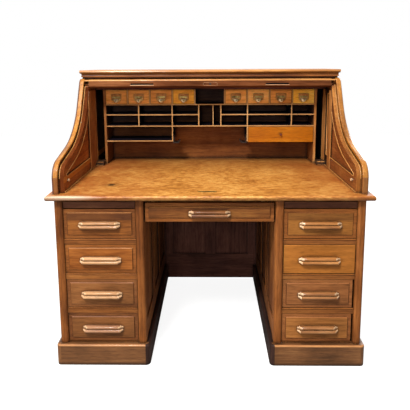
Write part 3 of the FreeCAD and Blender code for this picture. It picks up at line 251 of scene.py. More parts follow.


# dark, mid and light of each finish as 0-255 colours; a deep entry is a depth and how dark the painted shade
# beyond it gets; a levels entry is a foot, a head, a pitch or 0, a strength and a colour
woodTones = {
    "caseOak": {"dark": (80, 38, 12), "mid": (134, 74, 30), "light": (172, 104, 46)},
    "postOak": {"dark": (88, 44, 14), "mid": (145, 83, 35), "light": (184, 114, 56)},
    "frontOak": {"dark": (118, 62, 18), "mid": (166, 96, 38), "light": (196, 122, 54)},
    "borderOak": {"dark": (108, 58, 20), "mid": (158, 92, 40), "light": (188, 118, 56)},
    "lowFieldOak": {"dark": (99, 59, 27), "mid": (143, 89, 46), "light": (168, 110, 61)},
    "lowBorderOak": {"dark": (93, 51, 23), "mid": (138, 82, 42), "light": (163, 105, 57)},
    # painted shadow: the top drawers' fields are painted dark just under the writing top's overhang
    "topFieldOak": {"dark": (98, 51, 17), "mid": (152, 89, 37), "light": (182, 115, 52),
                    "levels": ((0.656, 0.700, 0, 0.58, (60, 32, 22)),)},
    "topFieldWarmOak": {"dark": (104, 58, 19), "mid": (160, 100, 42), "light": (190, 126, 57),
                        "levels": ((0.656, 0.700, 0, 0.40, (70, 40, 22)),)},
    "topBorderOak": {"dark": (88, 44, 18), "mid": (140, 80, 34), "light": (172, 106, 50)},
    # painted highlight on the upper bevels round the raised fields, painted shade on the others
    "bevelPaleOak": {"dark": (118, 70, 30), "mid": (172, 108, 50), "light": (204, 140, 76)},
    "bevelDarkOak": {"dark": (64, 32, 14), "mid": (108, 60, 28), "light": (140, 84, 42)},
    # painted shade: the centre drawer, deep under the writing top, is painted darker
    "centreOak": {"dark": (62, 32, 13), "mid": (125, 72, 31), "light": (172, 114, 54), "grime": 0.5},
    "paleFrontOak": {"dark": (144, 86, 28), "mid": (184, 112, 44), "light": (206, 138, 60)},
    "secondFieldOak": {"dark": (126, 66, 20), "mid": (178, 105, 44), "light": (210, 133, 62)},
    "thirdFieldOak": {"dark": (104, 60, 27), "mid": (152, 93, 49), "light": (180, 116, 65)},
    "thirdBorderOak": {"dark": (106, 58, 26), "mid": (155, 93, 48), "light": (184, 119, 65)},
    "fourthFieldOak": {"dark": (126, 76, 32), "mid": (178, 113, 55), "light": (210, 140, 74)},
    "fourthBorderOak": {"dark": (112, 62, 28), "mid": (163, 98, 50), "light": (193, 125, 68)},
    # painted shade: a dark line just under each rail bead stands in for a shaded groove
    "railFrontOak": {"dark": (92, 48, 16), "mid": (146, 86, 38), "light": (178, 114, 56),
                     "levels": ((0.2500, 0.2538, 0.158, 0.65, (46, 22, 12)),)},
    "slideOak": {"dark": (66, 32, 18), "mid": (102, 57, 34), "light": (130, 80, 50)},
    "pullOakPale": {"dark": (152, 95, 52), "mid": (196, 144, 96), "light": (224, 176, 126), "grime": 0.1,
                    "coat": 0.3},
    "pullOakLow": {"dark": (128, 78, 46), "mid": (168, 118, 82), "light": (196, 146, 108), "grime": 0.14,
                   "coat": 0.3},
    "pullOakWarm": {"dark": (132, 78, 34), "mid": (186, 122, 62), "light": (216, 156, 92), "grime": 0.14,
                    "coat": 0.4},
    "pullOakBrown": {"dark": (82, 43, 18), "mid": (122, 72, 33), "light": (172, 113, 62), "grime": 0.3,
                     "coat": 0.5},
    # painted highlight on the pulls' cut ends and on the stop pegs
    "pullTipPale": {"dark": (206, 152, 104), "mid": (240, 194, 146), "light": (255, 222, 180), "grime": 0.1,
                    "coat": 0.6},
    # painted highlight along the plinth's rounded upper edge (ridge); its bottom band is darker
    "plinthOak": {"dark": (74, 46, 24), "mid": (128, 82, 46), "light": (164, 112, 66), "grime": 0.5,
                  "coat": 0.2, "ridge": 0.95, "levels": ((0.0, 0.012, 0, 0.4, (50, 30, 16)),)},
    "noseOak": {"dark": (124, 72, 20), "mid": (184, 118, 44), "light": (220, 160, 74), "coat": 0.4,
                "gloss": 1.3, "levels": ((0.772, 0.842, 0, 0.55, (96, 50, 34)),)},
    # painted shade: both linings are painted dark deep inside the roll
    "linerOak": {"dark": (78, 37, 12), "mid": (126, 68, 29), "light": (160, 98, 45), "coat": 0.2,
                 "deep": ((0.098, 0.93), (0.215, 0.9))},
    "linerEdgeOak": {"dark": (112, 62, 22), "mid": (162, 98, 40), "light": (200, 136, 66)},
    "leftEdgeOak": {"dark": (66, 28, 12), "mid": (110, 54, 24), "light": (142, 80, 40), "shine": 0.0},
    "leftLinerOak": {"dark": (92, 42, 16), "mid": (152, 82, 36), "light": (192, 118, 58),
                     "deep": ((0.112, 0.6), (0.183, 0.94)),
                     "levels": ((0.812, 0.838, 0, 0.7, (196, 122, 48)),)},
    "beadOak": {"dark": (140, 82, 34), "mid": (192, 128, 64), "light": (224, 164, 96), "coat": 0.3,
                "dirtAndShade": 0.2},
    "stileOak": {"dark": (112, 64, 26), "mid": (170, 108, 52), "light": (206, 146, 84)},
    "leftStileOak": {"dark": (112, 60, 28), "mid": (168, 100, 50), "light": (206, 140, 82)},
    "sillOak": {"dark": (40, 26, 18), "mid": (72, 48, 32), "light": (100, 70, 48)},
    "panelOak": {"dark": (72, 30, 13), "mid": (130, 70, 31), "light": (176, 110, 56), "coat": 0.2},
    "leftPanelOak": {"dark": (104, 44, 18), "mid": (176, 98, 44), "light": (226, 150, 82)},
    "shelfOak": {"dark": (150, 102, 56), "mid": (200, 146, 88), "light": (224, 178, 122), "gloss": 0.8},
    "sideShelfOak": {"dark": (120, 72, 34), "mid": (176, 114, 56), "light": (206, 146, 82), "gloss": 0.8},
    # painted shade: the insides of the pigeonholes and the finger grips are painted near black
    "holeOak": {"dark": (10, 8, 13), "mid": (20, 15, 23), "light": (34, 26, 34), "gloss": 0.6, "wear": 0.1,
                "shine": 0.05},
    # painted shade: a near-black band on the back inside the pigeonholes
    "galleryBackOak": {"dark": (76, 38, 12), "mid": (122, 66, 24), "light": (152, 90, 38), "gloss": 0.8,
                       "wear": 0.1, "levels": ((0.990, 1.190, 0, 0.72, (15, 10, 16)),)},
    "kneeOak": {"dark": (58, 32, 26), "mid": (108, 66, 54), "light": (140, 92, 76), "gloss": 0.7,
                "wear": 0.3},
    # painted shade: the plinths' sides in the knee hole are painted near black
    "kneeFootOak": {"dark": (30, 17, 12), "mid": (56, 34, 26), "light": (84, 54, 42), "gloss": 0.8},
    # painted shade: the knee sides are painted darker towards the back
    "kneeSideOak": {"dark": (104, 56, 26), "mid": (162, 96, 48), "light": (198, 132, 74), "gloss": 0.8,
                    "wear": 0.6, "deep": ((-0.20, 0.3), (0.05, 0.4))},
    "railOak": {"dark": (60, 30, 16), "mid": (106, 60, 34), "light": (138, 86, 52), "gloss": 0.7,
                "shine": 0.0},
    "roofOak": {"dark": (138, 80, 30), "mid": (186, 120, 52), "light": (220, 158, 82), "coat": 0.4},
    "boxPine": {"dark": (150, 108, 62), "mid": (196, 152, 98), "light": (222, 184, 132), "gloss": 0.5,
                "wear": 0.1, "grime": 0.5},
    "slatOak": {"dark": (80, 44, 22), "mid": (132, 80, 40), "light": (166, 108, 58)},
    "goldOak": {"dark": (154, 80, 6), "mid": (182, 103, 9), "light": (202, 128, 28), "grime": 0.1},
    # painted light: the small drawers are painted paler than their wood, for light kept off them by the lift
    # rail's shade
    "smallOak": {"dark": (196, 118, 44), "mid": (250, 168, 76), "light": (255, 196, 110)},
    "amberOak": {"dark": (230, 146, 36), "mid": (255, 184, 58), "light": (255, 210, 96), "grime": 0.1},
    "knobOak": {"dark": (60, 20, 12), "mid": (112, 48, 30), "light": (150, 80, 56), "coat": 0.5},
    "rollSideOak": {"dark": (94, 48, 16), "mid": (148, 86, 35), "light": (182, 116, 52)},
    "noseOuterOak": {"dark": (66, 36, 18), "mid": (104, 64, 38), "light": (140, 92, 58), "coat": 0.3,
                     "levels": ((0.772, 0.842, 0, 0.55, (96, 50, 34)),)},
    # painted highlight: the lips under the finger grips are painted pale
    "gripOak": {"dark": (176, 122, 84), "mid": (214, 160, 118), "light": (240, 194, 152), "grime": 0.1},
    "pullOakDeep": {"dark": (116, 68, 32), "mid": (164, 108, 60), "light": (194, 140, 88), "grime": 0.14,
                    "coat": 0.4},
}
toneShift = 1.3  # each finish takes its figure from another part of the noise
woods = {}
for number, (tone, look) in enumerate(woodTones.items()):
    for axis in "xyz":
        woods[tone, axis] = oak(tone, axis, shift=number * toneShift, **look)


topLook = {
    "dark": (128, 70, 20), "mid": (196, 128, 54), "light": (238, 180, 96), "red": (146, 72, 28),
    "stretch": (0.14, 1.0, 1.0), "stops": (0.20, 0.50, 0.82), "cloudScale": 5.5,
    "mottleScale": 84.0, "mottleStretch": (0.45, 1.0, 1.0),
    "fleckScale": 190.0, "fleckStretch": (0.22, 1.0, 1.0), "fineSpan": (0.34, 0.66),
    "parts": {"streak": 0.22, "cloud": 0.20, "broad": 0.06, "mottle": 0.26, "fleck": 0.26},
    "endsFrom": 0.06, "endSpan": (0.22, 0.58), "endShade": 0.86,  # redder towards both ends
    "rearSpan": (-0.05, 0.20), "rearShade": 0.42,  # and, as painted shade, darker and redder towards the rear
    # painted shadow: a dark band on the top just in front of the gallery's back
    "rearShadowSpan": (0.265, 0.350), "rearShadowStrength": 0.8, "rearShadowTone": (66, 38, 24), "rearEdge": (0.396, 0.402),
    "knotAt": (-0.445, -0.249, 0.772), "knotReach": (0.021, 0.016, 0.01), "knotTone": (44, 24, 12),
    # painted highlight: a pale patch on the left of the top's front edge
    "highlightAt": (-0.60, -0.430, 0.765), "highlightReach": (0.15, 0.016, 0.011), "highlightTone": (244, 216, 186),
    # painted shade on the strips of the top in the slots beside the gallery
    "slotFront": (0.207, 0.213), "slotNear": (0.572, 0.578), "slotFar": (0.630, 0.636),
    "slotShade": 0.9, "slotTone": (20, 12, 9),
    "wearRadius": 0.003, "wearSpan": (0.30, 0.62), "wearAmount": 0.5,
    "creviceReach": 0.02, "creviceAmount": 0.8, "creviceTone": (50, 24, 10),
    "rough": (0.32, 0.54), "bump": 0.18, "bumpReach": 0.0005, "coat": 0.1, "coatRough": 0.25, "shine": 0.3,
}


def unsigned(shop, value):
    return shop.node("ShaderNodeMath", {"operation": "ABSOLUTE"}, {0: value})


def writingTopOak(axis):  # broad patches over a fine mottle and flecks, with one dark knot
    look, parts = topLook, topLook["parts"]
    shop = Shop("writingTopOak_" + axis)
    maps = oakMaps(shop, look["stretch"])
    cloud = shop.noise(maps.moved, look["cloudScale"], 4.0, 0.6, 0.4)
    mottled = shop.move(maps.moved, look["mottleStretch"], "MULTIPLY")
    mottle = shop.noise(mottled, look["mottleScale"], 3.0, 0.7)
    flecked = shop.move(maps.moved, look["fleckStretch"], "MULTIPLY")
    fleck = shop.noise(flecked, look["fleckScale"], 2.0, 0.6)
    tone = maps.streak.span(0.32, 0.68) * parts["streak"] + cloud.span(0.3, 0.7) * parts["cloud"] \
        + maps.broad.span(0.3, 0.7) * parts["broad"] \
        + mottle.span(*look["fineSpan"]) * parts["mottle"] + fleck.span(*look["fineSpan"]) * parts["fleck"]
    wood = toneRamp(shop, look["stops"], (look["dark"], look["mid"], look["light"]), tone)
    across, depth = shop.split(maps.place)[:2]
    ahead = depth.span(*look["rearEdge"], 1.0, 0.0)  # 1 in front of the rear edge
    ends = unsigned(shop, across - look["endsFrom"]).span(*look["endSpan"], 0.0, look["endShade"])
    warm = shop.mix(ends * cloud.span(0.25, 0.62, 1.0, 0.45), wood, linear(look["red"]))
    # painted shade towards the rear
    rearward = shop.mix(depth.span(*look["rearSpan"], 0.0, look["rearShade"]), warm,
                        linear(shade(look["red"], 0.75)))
    # painted shadow in front of the gallery's back
    rearShadowed = shop.mix(depth.span(*look["rearShadowSpan"], 0.0, look["rearShadowStrength"]) * ahead, rearward,
                     linear(look["rearShadowTone"]))
    knot = shop.spot(maps.place, look["knotAt"], look["knotReach"]) + (maps.streak - 0.5) * 0.8
    ringed = shop.mix(knot.span(2.6, 1.1, 0.0, 0.45), rearShadowed, linear(shade(look["dark"], 0.8)))
    knotted = shop.mix(knot.span(1.05, 0.55), ringed, linear(look["knotTone"]))
    # painted highlight on the left of the front edge
    highlightMask = shop.spot(maps.place, look["highlightAt"], look["highlightReach"]).span(1.1, 0.4, 0.0, 0.6)
    pale = shop.mix(highlightMask, knotted, linear(look["highlightTone"]))
    edge = wornEdge(shop, look["wearRadius"]) * maps.grime.span(*look["wearSpan"])
    worn = shop.mix(edge * look["wearAmount"], pale, linear(look["light"]))
    # painted shade: faces that turn sideways and downwards are painted darker
    upward = shop.split(shop.node("ShaderNodeNewGeometry", output="Normal"))[2]
    under = shop.mix(upward.span(0.55, -0.1, 0.0, 0.55), worn, linear(shade(look["dark"], 0.6)))
    off = unsigned(shop, across)
    # painted shade: the top is painted near black on the strips in the slots beside the gallery
    hidden = depth.span(*look["slotFront"]) * ahead \
        * off.span(*look["slotNear"]) * off.span(*look["slotFar"], 1.0, 0.0)
    dusky = shop.mix(hidden * look["slotShade"], under, linear(look["slotTone"]))
    # painted shade, with some dirt, in gaps and inner corners
    shadedColour = shop.mix(crevice(shop, look["creviceReach"]) * look["creviceAmount"], dusky,
                       linear(look["creviceTone"]))
    rough = maps.grime.span(0.3, 0.7, *look["rough"]) + maps.pores * 0.12
    relief = maps.streak * 0.3 + fleck * 0.2 - maps.pores * 0.4
    bump = shop.node("ShaderNodeBump", None,
                     {"Strength": look["bump"], "Distance": look["bumpReach"], "Height": relief})
    return shop.finish({"Base Color": shadedColour, "Roughness": rough, "Normal": bump,
                        "Coat Weight": look["coat"], "Coat Roughness": look["coatRough"],
                        "Specular IOR Level": look["shine"]})


for axis in "xyz":
    woods["topOak", axis] = writingTopOak(axis)
print("oak finishes:", len(woods))


# brass, iron, card and canvas
metalLooks = {  # metallic is how much of a metal it is, grubby how much dirt its corners hold
    "brightBrass": {"colour": (178, 122, 60), "dull": (120, 76, 34), "rough": 0.34, "metallic": 0.5},
    # painted highlight: the drops' brass is painted near white to stand in for their glint
    "paintedSheenBrass": {"colour": (255, 244, 204), "dull": (255, 224, 156), "rough": 0.26, "metallic": 0.1,
                      "grubby": 0.3},
    "dullBrass": {"colour": (150, 124, 70), "dull": (84, 62, 32), "rough": 0.38, "metallic": 0.85},
    "darkIron": {"colour": (54, 40, 32), "dull": (22, 14, 11), "rough": 0.42, "metallic": 0.6},
    "wornBrass": {"colour": (150, 104, 62), "dull": (92, 56, 32), "rough": 0.45, "metallic": 0.3},
    # painted shade: a near-black that stands in for the shaded keyhole
    "keyholeShadeBlack": {"colour": (20, 14, 13), "dull": (9, 7, 8), "rough": 0.6, "metallic": 0.0},
    "greySteel": {"colour": (150, 146, 140), "dull": (92, 78, 66), "rough": 0.36, "metallic": 0.9},
}
tarnishLook = {"scale": 70.0, "edge": 0.0012, "crevice": 0.004, "dirtAndShade": (30, 18, 10)}


def tarnishSpots(shop):
    place = shop.node("ShaderNodeTexCoord", output="Object")
    return place, shop.noise(place, tarnishLook["scale"], 4.0, 0.65)


def metal(name, colour, dull, rough, metallic, grubby=0.8):
    shop = Shop(name)
    spots = tarnishSpots(shop)[1]
    tarnish = shop.mix(spots.span(0.42, 0.66), linear(colour), linear(dull))
    bright = shop.mix(wornEdge(shop, tarnishLook["edge"]) * 0.7, tarnish, linear(shade(colour, 1.2)))
    dirty = shop.mix(crevice(shop, tarnishLook["crevice"]) * grubby, bright, linear(tarnishLook["dirtAndShade"]))
    bump = shop.node("ShaderNodeBump", None, {"Strength": 0.2, "Distance": 0.0003, "Height": spots})
    return shop.finish({"Base Color": dirty, "Metallic": metallic, "Normal": bump,
                        "Roughness": spots.span(0.35, 0.7, rough - 0.08, rough + 0.28)})


metals = {name: metal(name, **look) for name, look in metalLooks.items()}
keeperLook = {"middle": (-0.008, -0.361, 0.772), "slotReach": (0.033, 0.0052, 0.01), "metallic": 0.8,
              "colour": (196, 160, 82), "dull": (150, 110, 48), "slot": (58, 44, 16)}


def keeperBrass():  # dull brass with the slot that takes the lock's hooks painted dark on it, painted shade of the hole
    look, shop = keeperLook, Shop("keeperBrass")
    place, spots = tarnishSpots(shop)
    slot = shop.spot(place, look["middle"], look["slotReach"])
    tarnish = shop.mix(spots.span(0.40, 0.66), linear(look["colour"]), linear(look["dull"]))
    colour = shop.mix(slot.span(1.15, 0.85), tarnish, linear(look["slot"]))
    return shop.finish({"Base Color": colour, "Metallic": slot.span(0.85, 1.15, 0.0, look["metallic"]),
                        "Roughness": spots.span(0.35, 0.7, 0.3, 0.6)})


cardLook = {"paper": (190, 128, 62), "stain": (150, 92, 42), "scale": 70.0}


def agedCard():
    shop = Shop("agedCard")
    place = shop.node("ShaderNodeTexCoord", output="Object")
    stain = shop.noise(place, cardLook["scale"], 4.0)
    colour = shop.mix(stain.span(0.35, 0.7), linear(cardLook["paper"]), linear(cardLook["stain"]))
    return shop.finish({"Base Color": colour, "Roughness": stain.span(0.2, 0.8, 0.75, 0.95)})


canvasLook = {"hollow": (112, 96, 70), "thread": (160, 142, 108), "threads": 3800.0, "rough": (0.95, 0.8)}


def slatCanvas():  # woven cloth that the slats are glued to
    look, shop = canvasLook, Shop("slatCanvas")
    place = shop.node("ShaderNodeTexCoord", output="Object")
    weft, warp = [shop.node("ShaderNodeMath", {"operation": "SINE"}, {0: way * look["threads"]})
                  for way in shop.split(place)[:2]]
    weave = weft * warp
    colour = shop.mix(weave.span(-1.0, 1.0), linear(look["hollow"]), linear(look["thread"]))
    bump = shop.node("ShaderNodeBump", None, {"Strength": 0.4, "Distance": 0.0004, "Height": weave})
    return shop.finish({"Base Color": colour, "Roughness": weave.span(-1.0, 1.0, *look["rough"]),
                        "Normal": bump})


keeper = keeperBrass()
card = agedCard()
canvas = slatCanvas()
print("metals, card and canvas ready")


# finishes on the carried-over boards
def faceGroups(mesh):  # polygons that share corners make up one face of a board
    parent = list(range(len(mesh.vertices)))

    def find(i):
        while parent[i] != i:
            parent[i] = parent[parent[i]]
            i = parent[i]
        return i

    for polygon in mesh.polygons:
        first = find(polygon.vertices[0])
        for corner in polygon.vertices[1:]:
            parent[find(corner)] = first
    groups = {}
    for polygon in mesh.polygons:
        groups.setdefault(find(polygon.vertices[0]), []).append(polygon)
    return groups.values()


def reachOf(mesh, group):
    points = [mesh.vertices[v].co for polygon in group for v in polygon.vertices]
    return (Vector([min(p[i] for p in points) for i in range(3)]),
            Vector([max(p[i] for p in points) for i in range(3)]))


def dress(nodeName, tone, special=None):
    # grain runs along the longer side of each face; special(low, high) may name another finish
    mesh = nodes[nodeName].data
    mesh.materials.clear()
    places = {}
    for group in faceGroups(mesh):
        low, high = reachOf(mesh, group)
        reach = high - low
        axis = "xyz"[max(range(3), key=lambda i: reach[i])]
        chosen = special(low, high) if special else None
        finish = chosen if isinstance(chosen, bpy.types.Material) else woods[chosen or tone, axis]
        if finish.name not in places:
            places[finish.name] = len(mesh.materials)
            mesh.materials.append(finish)
        for polygon in group:
            polygon.material_index = places[finish.name]


# a face is told by its reach: how far back it starts or ends, and how wide or tall it is
frontLook = {"touch": 0.3 * mm, "boxFrom": 13 * mm, "boxTo": 40 * mm,
             "highlightBevels": ("left_drawer_1", "left_drawer_2", "centre_drawer")}


def frontFinish(frontName, field, border):  # raised field, its border, and the bare box behind the front
    look, front = frontLook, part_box(frontName)
    face, middle = front[0].y, (front[0].z + front[1].z) / 2
    upperBevel = "bevelPaleOak" if frontName in look["highlightBevels"] else border

    def pick(low, high):
        if low.y > face + look["boxFrom"] and high.y > face + look["boxTo"]:
            return "boxPine"
        if high.y < face + look["touch"]:
            return field
        if low.y < face + look["touch"] and field != border:  # the bevel round the field: painted shade on its lower and side faces, and a painted highlight on the upper one of some fronts
            upper = low.z > middle and high.x - low.x > high.z - low.z
            return upperBevel if upper else "bevelDarkOak"
        return border
    return pick


caseLow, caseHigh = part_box("left_pedestal_frame")
caseLook = {
    "face": caseLow.y + 1 * mm, "knee": 20 * mm - caseHigh.x,  # front faces, and those in the knee hole
    "flat": 0.5 * mm, "outer": -663 * mm, "rounding": (5 * mm, 12 * mm),  # the roll sides' faces
    "liningWide": 12 * mm, "liningFront": 0.05,  # the front edge of the lining
    "rear": 1 * mm,  # the rear faces of the knee hole's back
}


def inKneeHole(low, high):
    return max(abs(low.x), abs(high.x)) < caseLook["knee"]


def frameFinish(low, high):
    if low.y < caseLook["face"]:
        return "postOak"
    return "kneeSideOak" if inKneeHole(low, high) else None


def plinthFinish(low, high):  # painted shade: the side in the knee hole is painted as dark as the shaded rest of the hole
    return "kneeFootOak" if inKneeHole(low, high) else None


def rollSideFinish(low, high):  # flat sides match the case, the left outer rounding is darker
    wide = high.x - low.x
    if wide < caseLook["flat"]:
        return "rollSideOak"
    narrowest, widest = caseLook["rounding"]
    return "noseOuterOak" if low.x < caseLook["outer"] and narrowest < wide < widest else None


def linerFinish(low, high):  # the front edge of the lining
    if high.x - low.x > caseLook["liningWide"] and low.y < caseLook["liningFront"]:
        return "leftEdgeOak" if low.x < 0 else "linerEdgeOak"
    return None


def kneeBackFinish(nodeName):  # the rear faces match the case
    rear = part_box(nodeName)[1].y - caseLook["rear"]
    return lambda low, high: "caseOak" if low.y > rear else None


def linerPanelFinish(low, high):
    return "leftPanelOak" if low.x < 0 else None


def plainMetal(nodeName, finish):
    mesh = nodes[nodeName].data
    mesh.materials.clear()
    mesh.materials.append(finish)


frontPairs = {  # field and border of the drawer fronts that differ from the others
    "left_drawer_1": ("topFieldOak", "topBorderOak"), "left_drawer_2": ("secondFieldOak", "borderOak"),
    "right_drawer_1": ("topFieldWarmOak", "borderOak"), "right_drawer_2": ("paleFrontOak", "paleFrontOak"),
    "right_drawer_3": ("thirdFieldOak", "thirdBorderOak"),
    "right_drawer_4": ("fourthFieldOak", "fourthBorderOak"),
}
liningTones = {"left": "leftLinerOak", "right": "linerOak"}
plainBoards = {"centre_drawer_runners": "kneeOak", "stop_pegs": "pullTipPale", "roof_board": "roofOak",
               "cornice_bed": "caseOak", "roll_back": "caseOak", "tambour_tail_slats": "slatOak",
               "tambour_middle_slats": "slatOak"}
dress("writing_top", "topOak")
for side in sides:
    dress(side + "_pedestal_frame", "caseOak", frameFinish)
    dress(side + "_pedestal_panels", "caseOak", frameFinish)
    dress(side + "_drawer_rails", "railFrontOak")
    dress(side + "_plinth", "plinthOak", plinthFinish)
    dress(side + "_roll_side", "noseOak", rollSideFinish)
    dress(side + "_roll_liner", liningTones[side], linerFinish)
    dress(side + "_writing_slide", "slideOak")
    for number in range(1, 5):
        name = "%s_drawer_%d" % (side, number)
        field, border = frontPairs.get(name, ("lowFieldOak", "lowBorderOak"))
        dress(name, border, frontFinish(name, field, border))
dress("centre_drawer", "borderOak", frontFinish("centre_drawer", "centreOak", "borderOak"))
for name in ("knee_back_frame", "knee_back_panels"):
    dress(name, "kneeOak", kneeBackFinish(name))
dress("liner_panels", "panelOak", linerPanelFinish)
for name, tone in plainBoards.items():
    dress(name, tone)
plainMetal("gallery_brackets", metals["darkIron"])
plainMetal("lock_keeper_plate", keeper)

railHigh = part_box("lift_rail")[1]
railLook = {"rounding": 4 * mm, "gripWide": (100 * mm, 130 * mm)}


def railFinish(low, high):  # the finger grips are painted dark inside, painted shade; the upper rounding is painted pale, a painted highlight
    if low.z > railHigh.z - railLook["rounding"]:
        return "beadOak"
    narrowest, widest = railLook["gripWide"]
    return "holeOak" if narrowest < high.x - low.x < widest else None


dress("lift_rail", "railOak", railFinish)

shelfLow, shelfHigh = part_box("gallery_shelves")
galleryLook = {
    "edgeTo": shelfLow.y + 4 * mm, "edgeTall": 60 * mm, "edgeWide": 7 * mm, "caseEdgeWide": 14 * mm,
    "sill": (771 * mm, 793 * mm), "sillApart": 1.1,  # twice the slots' least distance from the middle
    "backFrom": shelfLow.y + 100 * mm, "insideTo": shelfHigh.x + 13 * mm,
}


def edgeOrHole(low, high):  # front edges are pale; the insides of the holes are painted dark, painted shade
    if high.y >= galleryLook["edgeTo"]:
        return "holeOak"
    thin = high.z - low.z < galleryLook["edgeTall"] or high.x - low.x < galleryLook["edgeWide"]
    return "shelfOak" if thin else None


def caseEdgeOrHole(low, high):  # the case has slot sills as well, and its outer sides are dull
    look = galleryLook
    if high.y < look["edgeTo"] and high.x - low.x < look["caseEdgeWide"]:
        return "sideShelfOak"
    foot, head = look["sill"]
    if low.z > foot and high.z < head and abs(low.x + high.x) > look["sillApart"]:
        return "sillOak"
    inside = low.y > look["backFrom"] or abs(low.x) < look["insideTo"]
    return "galleryBackOak" if inside else "kneeOak"


dress("gallery_case", "galleryBackOak", caseEdgeOrHole)
dress("gallery_shelves", "shelfOak", edgeOrHole)
dress("gallery_dividers", "shelfOak", edgeOrHole)

slatsLow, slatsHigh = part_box("tambour_front_slats")
slatLook = {"canvasTo": slatsLow.z + 0.45 * mm, "linksFrom": slatsHigh.x - 1.9 * mm}


def canvasAndLinks(low, high):  # cloth under the slats, a steel link at each end
    if high.z < slatLook["canvasTo"]:
        return canvas
    if low.x * high.x > 0 and min(abs(low.x), abs(high.x)) > slatLook["linksFrom"]:
        return metals["greySteel"]
    return None


dress("tambour_front_slats", "slatOak", canvasAndLinks)

smallLook = {"front": 19 * mm, "boxTo": 30 * mm, "touch": 0.1 * mm, "brassWide": 50 * mm,
             "golden": ("left_small_drawer_4", "right_small_drawer_1")}


def smallDrawerFinish(nodeName):
    look, face = smallLook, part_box(nodeName)[0].y + smallLook["front"]

    def pick(low, high):
        if high.y > face + look["boxTo"]:
            return "boxPine"
        brass = high.y < face + look["touch"] and high.x - low.x < look["brassWide"]
        return metals["dullBrass"] if brass else None
    return pick


smallDrawers = ["%s_small_drawer_%d" % (side, number) for side in sides for number in range(1, 5)]
for name in smallDrawers:
    dress(name, "amberOak" if name in smallLook["golden"] else "smallOak", smallDrawerFinish(name))

wideLook = {"knobWide": 11 * mm, "boxTo": 40 * mm}


def wideDrawerFinish(low, high):
    if high.x - low.x < wideLook["knobWide"] and low.y < shelfLow.y:
        return "knobOak"
    return "boxPine" if high.y > shelfLow.y + wideLook["boxTo"] else None


dress("wide_gallery_drawer", "goldOak", wideDrawerFinish)
print("boards dressed")


# pieces of their own
bodyOf = {member: body for body, members in record["behaviour"]["bodies"].items() for member in members}
slotOf = {part["node"]: part["material_slot"] for part in record["subparts"]}


def settle(name, data, finish, body):
    data.materials.append(finish)
    data.shade_smooth()
    piece = bpy.data.objects.new(name, data)
    bpy.context.scene.collection.objects.link(piece)
    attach(piece, body)
    return piece


def addPiece(name, mesh, finish, body, angle=35.0):  # edges sharper than the angle stay sharp
    bmesh.ops.recalc_face_normals(mesh, faces=mesh.faces)
    data = bpy.data.meshes.new(name)
    mesh.to_mesh(data)
    mesh.free()
    piece = settle(name, data, finish, body)
    data.set_sharp_from_angle(angle=math.radians(angle))
    return piece


def loft(mesh, rings, caps=True):  # a skin over closed rings of points, with or without its ends
    rows = [[mesh.verts.new(point) for point in ring] for ring in rings]
    count = len(rows[0])
    for a, b in zip(rows, rows[1:]):
        for i in range(count):
            j = (i + 1) % count
            mesh.faces.new((a[i], b[i], b[j], a[j]))
    if caps:
        mesh.faces.new(rows[0])
        mesh.faces.new(list(reversed(rows[-1])))


# carved pulls
pullLook = {  # lengths in millimetres, turns in degrees
    # two half-round ridges along the pull: how high they sit, how proud they are, their radius and their arc
    "upper": {"rise": 21.3, "out": 18.0, "radius": 7.4, "from": -48, "arc": 126},
    "lower": {"rise": 8.6, "out": 23.7, "radius": 7.2, "from": -80, "arc": 142},
    "foot": 2.0, "hollow": (5.0, 1.6), "back": 29.3, "steps": 6, "thinnest": 0.4, "proudest": 24.0,
    # stations from the end inwards: distance from the end, how proud the upper and lower ridges are, how tall
    "stations": ((0.0, 0.10, 0.40, 0.60), (9.0, 0.38, 0.80, 0.82), (12.5, 0.66, 1.0, 0.95),
                 (20.5, 1.0, 1.0, 1.0), (60.0, 1.0, 1.0, 1.0)),
    "tipTurn": 0.42, "sharp": 32.0,
}
pullTones = {"left": "pullOakPale", "right": "pullOakWarm", "centre": "pullOakBrown",
             "left_pull_4": "pullOakLow", "right_pull_3": "pullOakDeep", "right_pull_4": "pullOakDeep"}


def ridge(look, scale):  # points as how proud and how high they are
    points = []
    for step in range(pullLook["steps"] + 1):
        turn = math.radians(look["from"] + look["arc"] * step / pullLook["steps"])
        out = (look["out"] - look["radius"] * (1 - math.cos(turn))) * scale
        points.append((max(pullLook["thinnest"], out), look["rise"] + look["radius"] * math.sin(turn)))
    return points


def pullOutline(upperScale, lowerScale):
    hollow, rise = pullLook["hollow"]
    return [(0.0, pullLook["foot"]), (hollow * lowerScale, rise), *ridge(pullLook["lower"], lowerScale),
            *ridge(pullLook["upper"], upperScale), (0.0, pullLook["back"])]


def carvedPull(nodeName, finish, tip):
    look = pullLook
    low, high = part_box(nodeName)
    half = (high.x - low.x) / mm / 2
    middle = (low.x + high.x) / 2
    waist = (look["lower"]["rise"] + look["upper"]["rise"]) / 2
    rings = []
    for sign, run in ((-1, look["stations"]), (1, look["stations"][::-1])):
        for fromEnd, upper, lower, squeeze in run:
            rings.append([Vector((middle + sign * (half - fromEnd) * mm,
                                  high.y - min(out, look["proudest"]) * mm,
                                  low.z + (waist + (rise - waist) * squeeze) * mm))
                          for out, rise in pullOutline(upper, lower)])
    mesh = bmesh.new()
    loft(mesh, rings)
    bmesh.ops.recalc_face_normals(mesh, faces=mesh.faces)
    for face in mesh.faces:  # the cut ends are painted paler, a painted highlight
        face.material_index = 1 if abs(face.normal.x) > look["tipTurn"] else 0
    pull = addPiece(nodeName + "_carved", mesh, finish, bodyOf[nodeName], look["sharp"])
    pull.data.materials.append(tip)
    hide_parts(nodeName)


for name in sorted(nodes):
    if "_pull" in name:
        tone = pullTones.get(name, pullTones[name.split("_")[0]])
        carvedPull(name, woods[tone, "x"], woods["pullTipPale", "x"])
print("pulls carved")


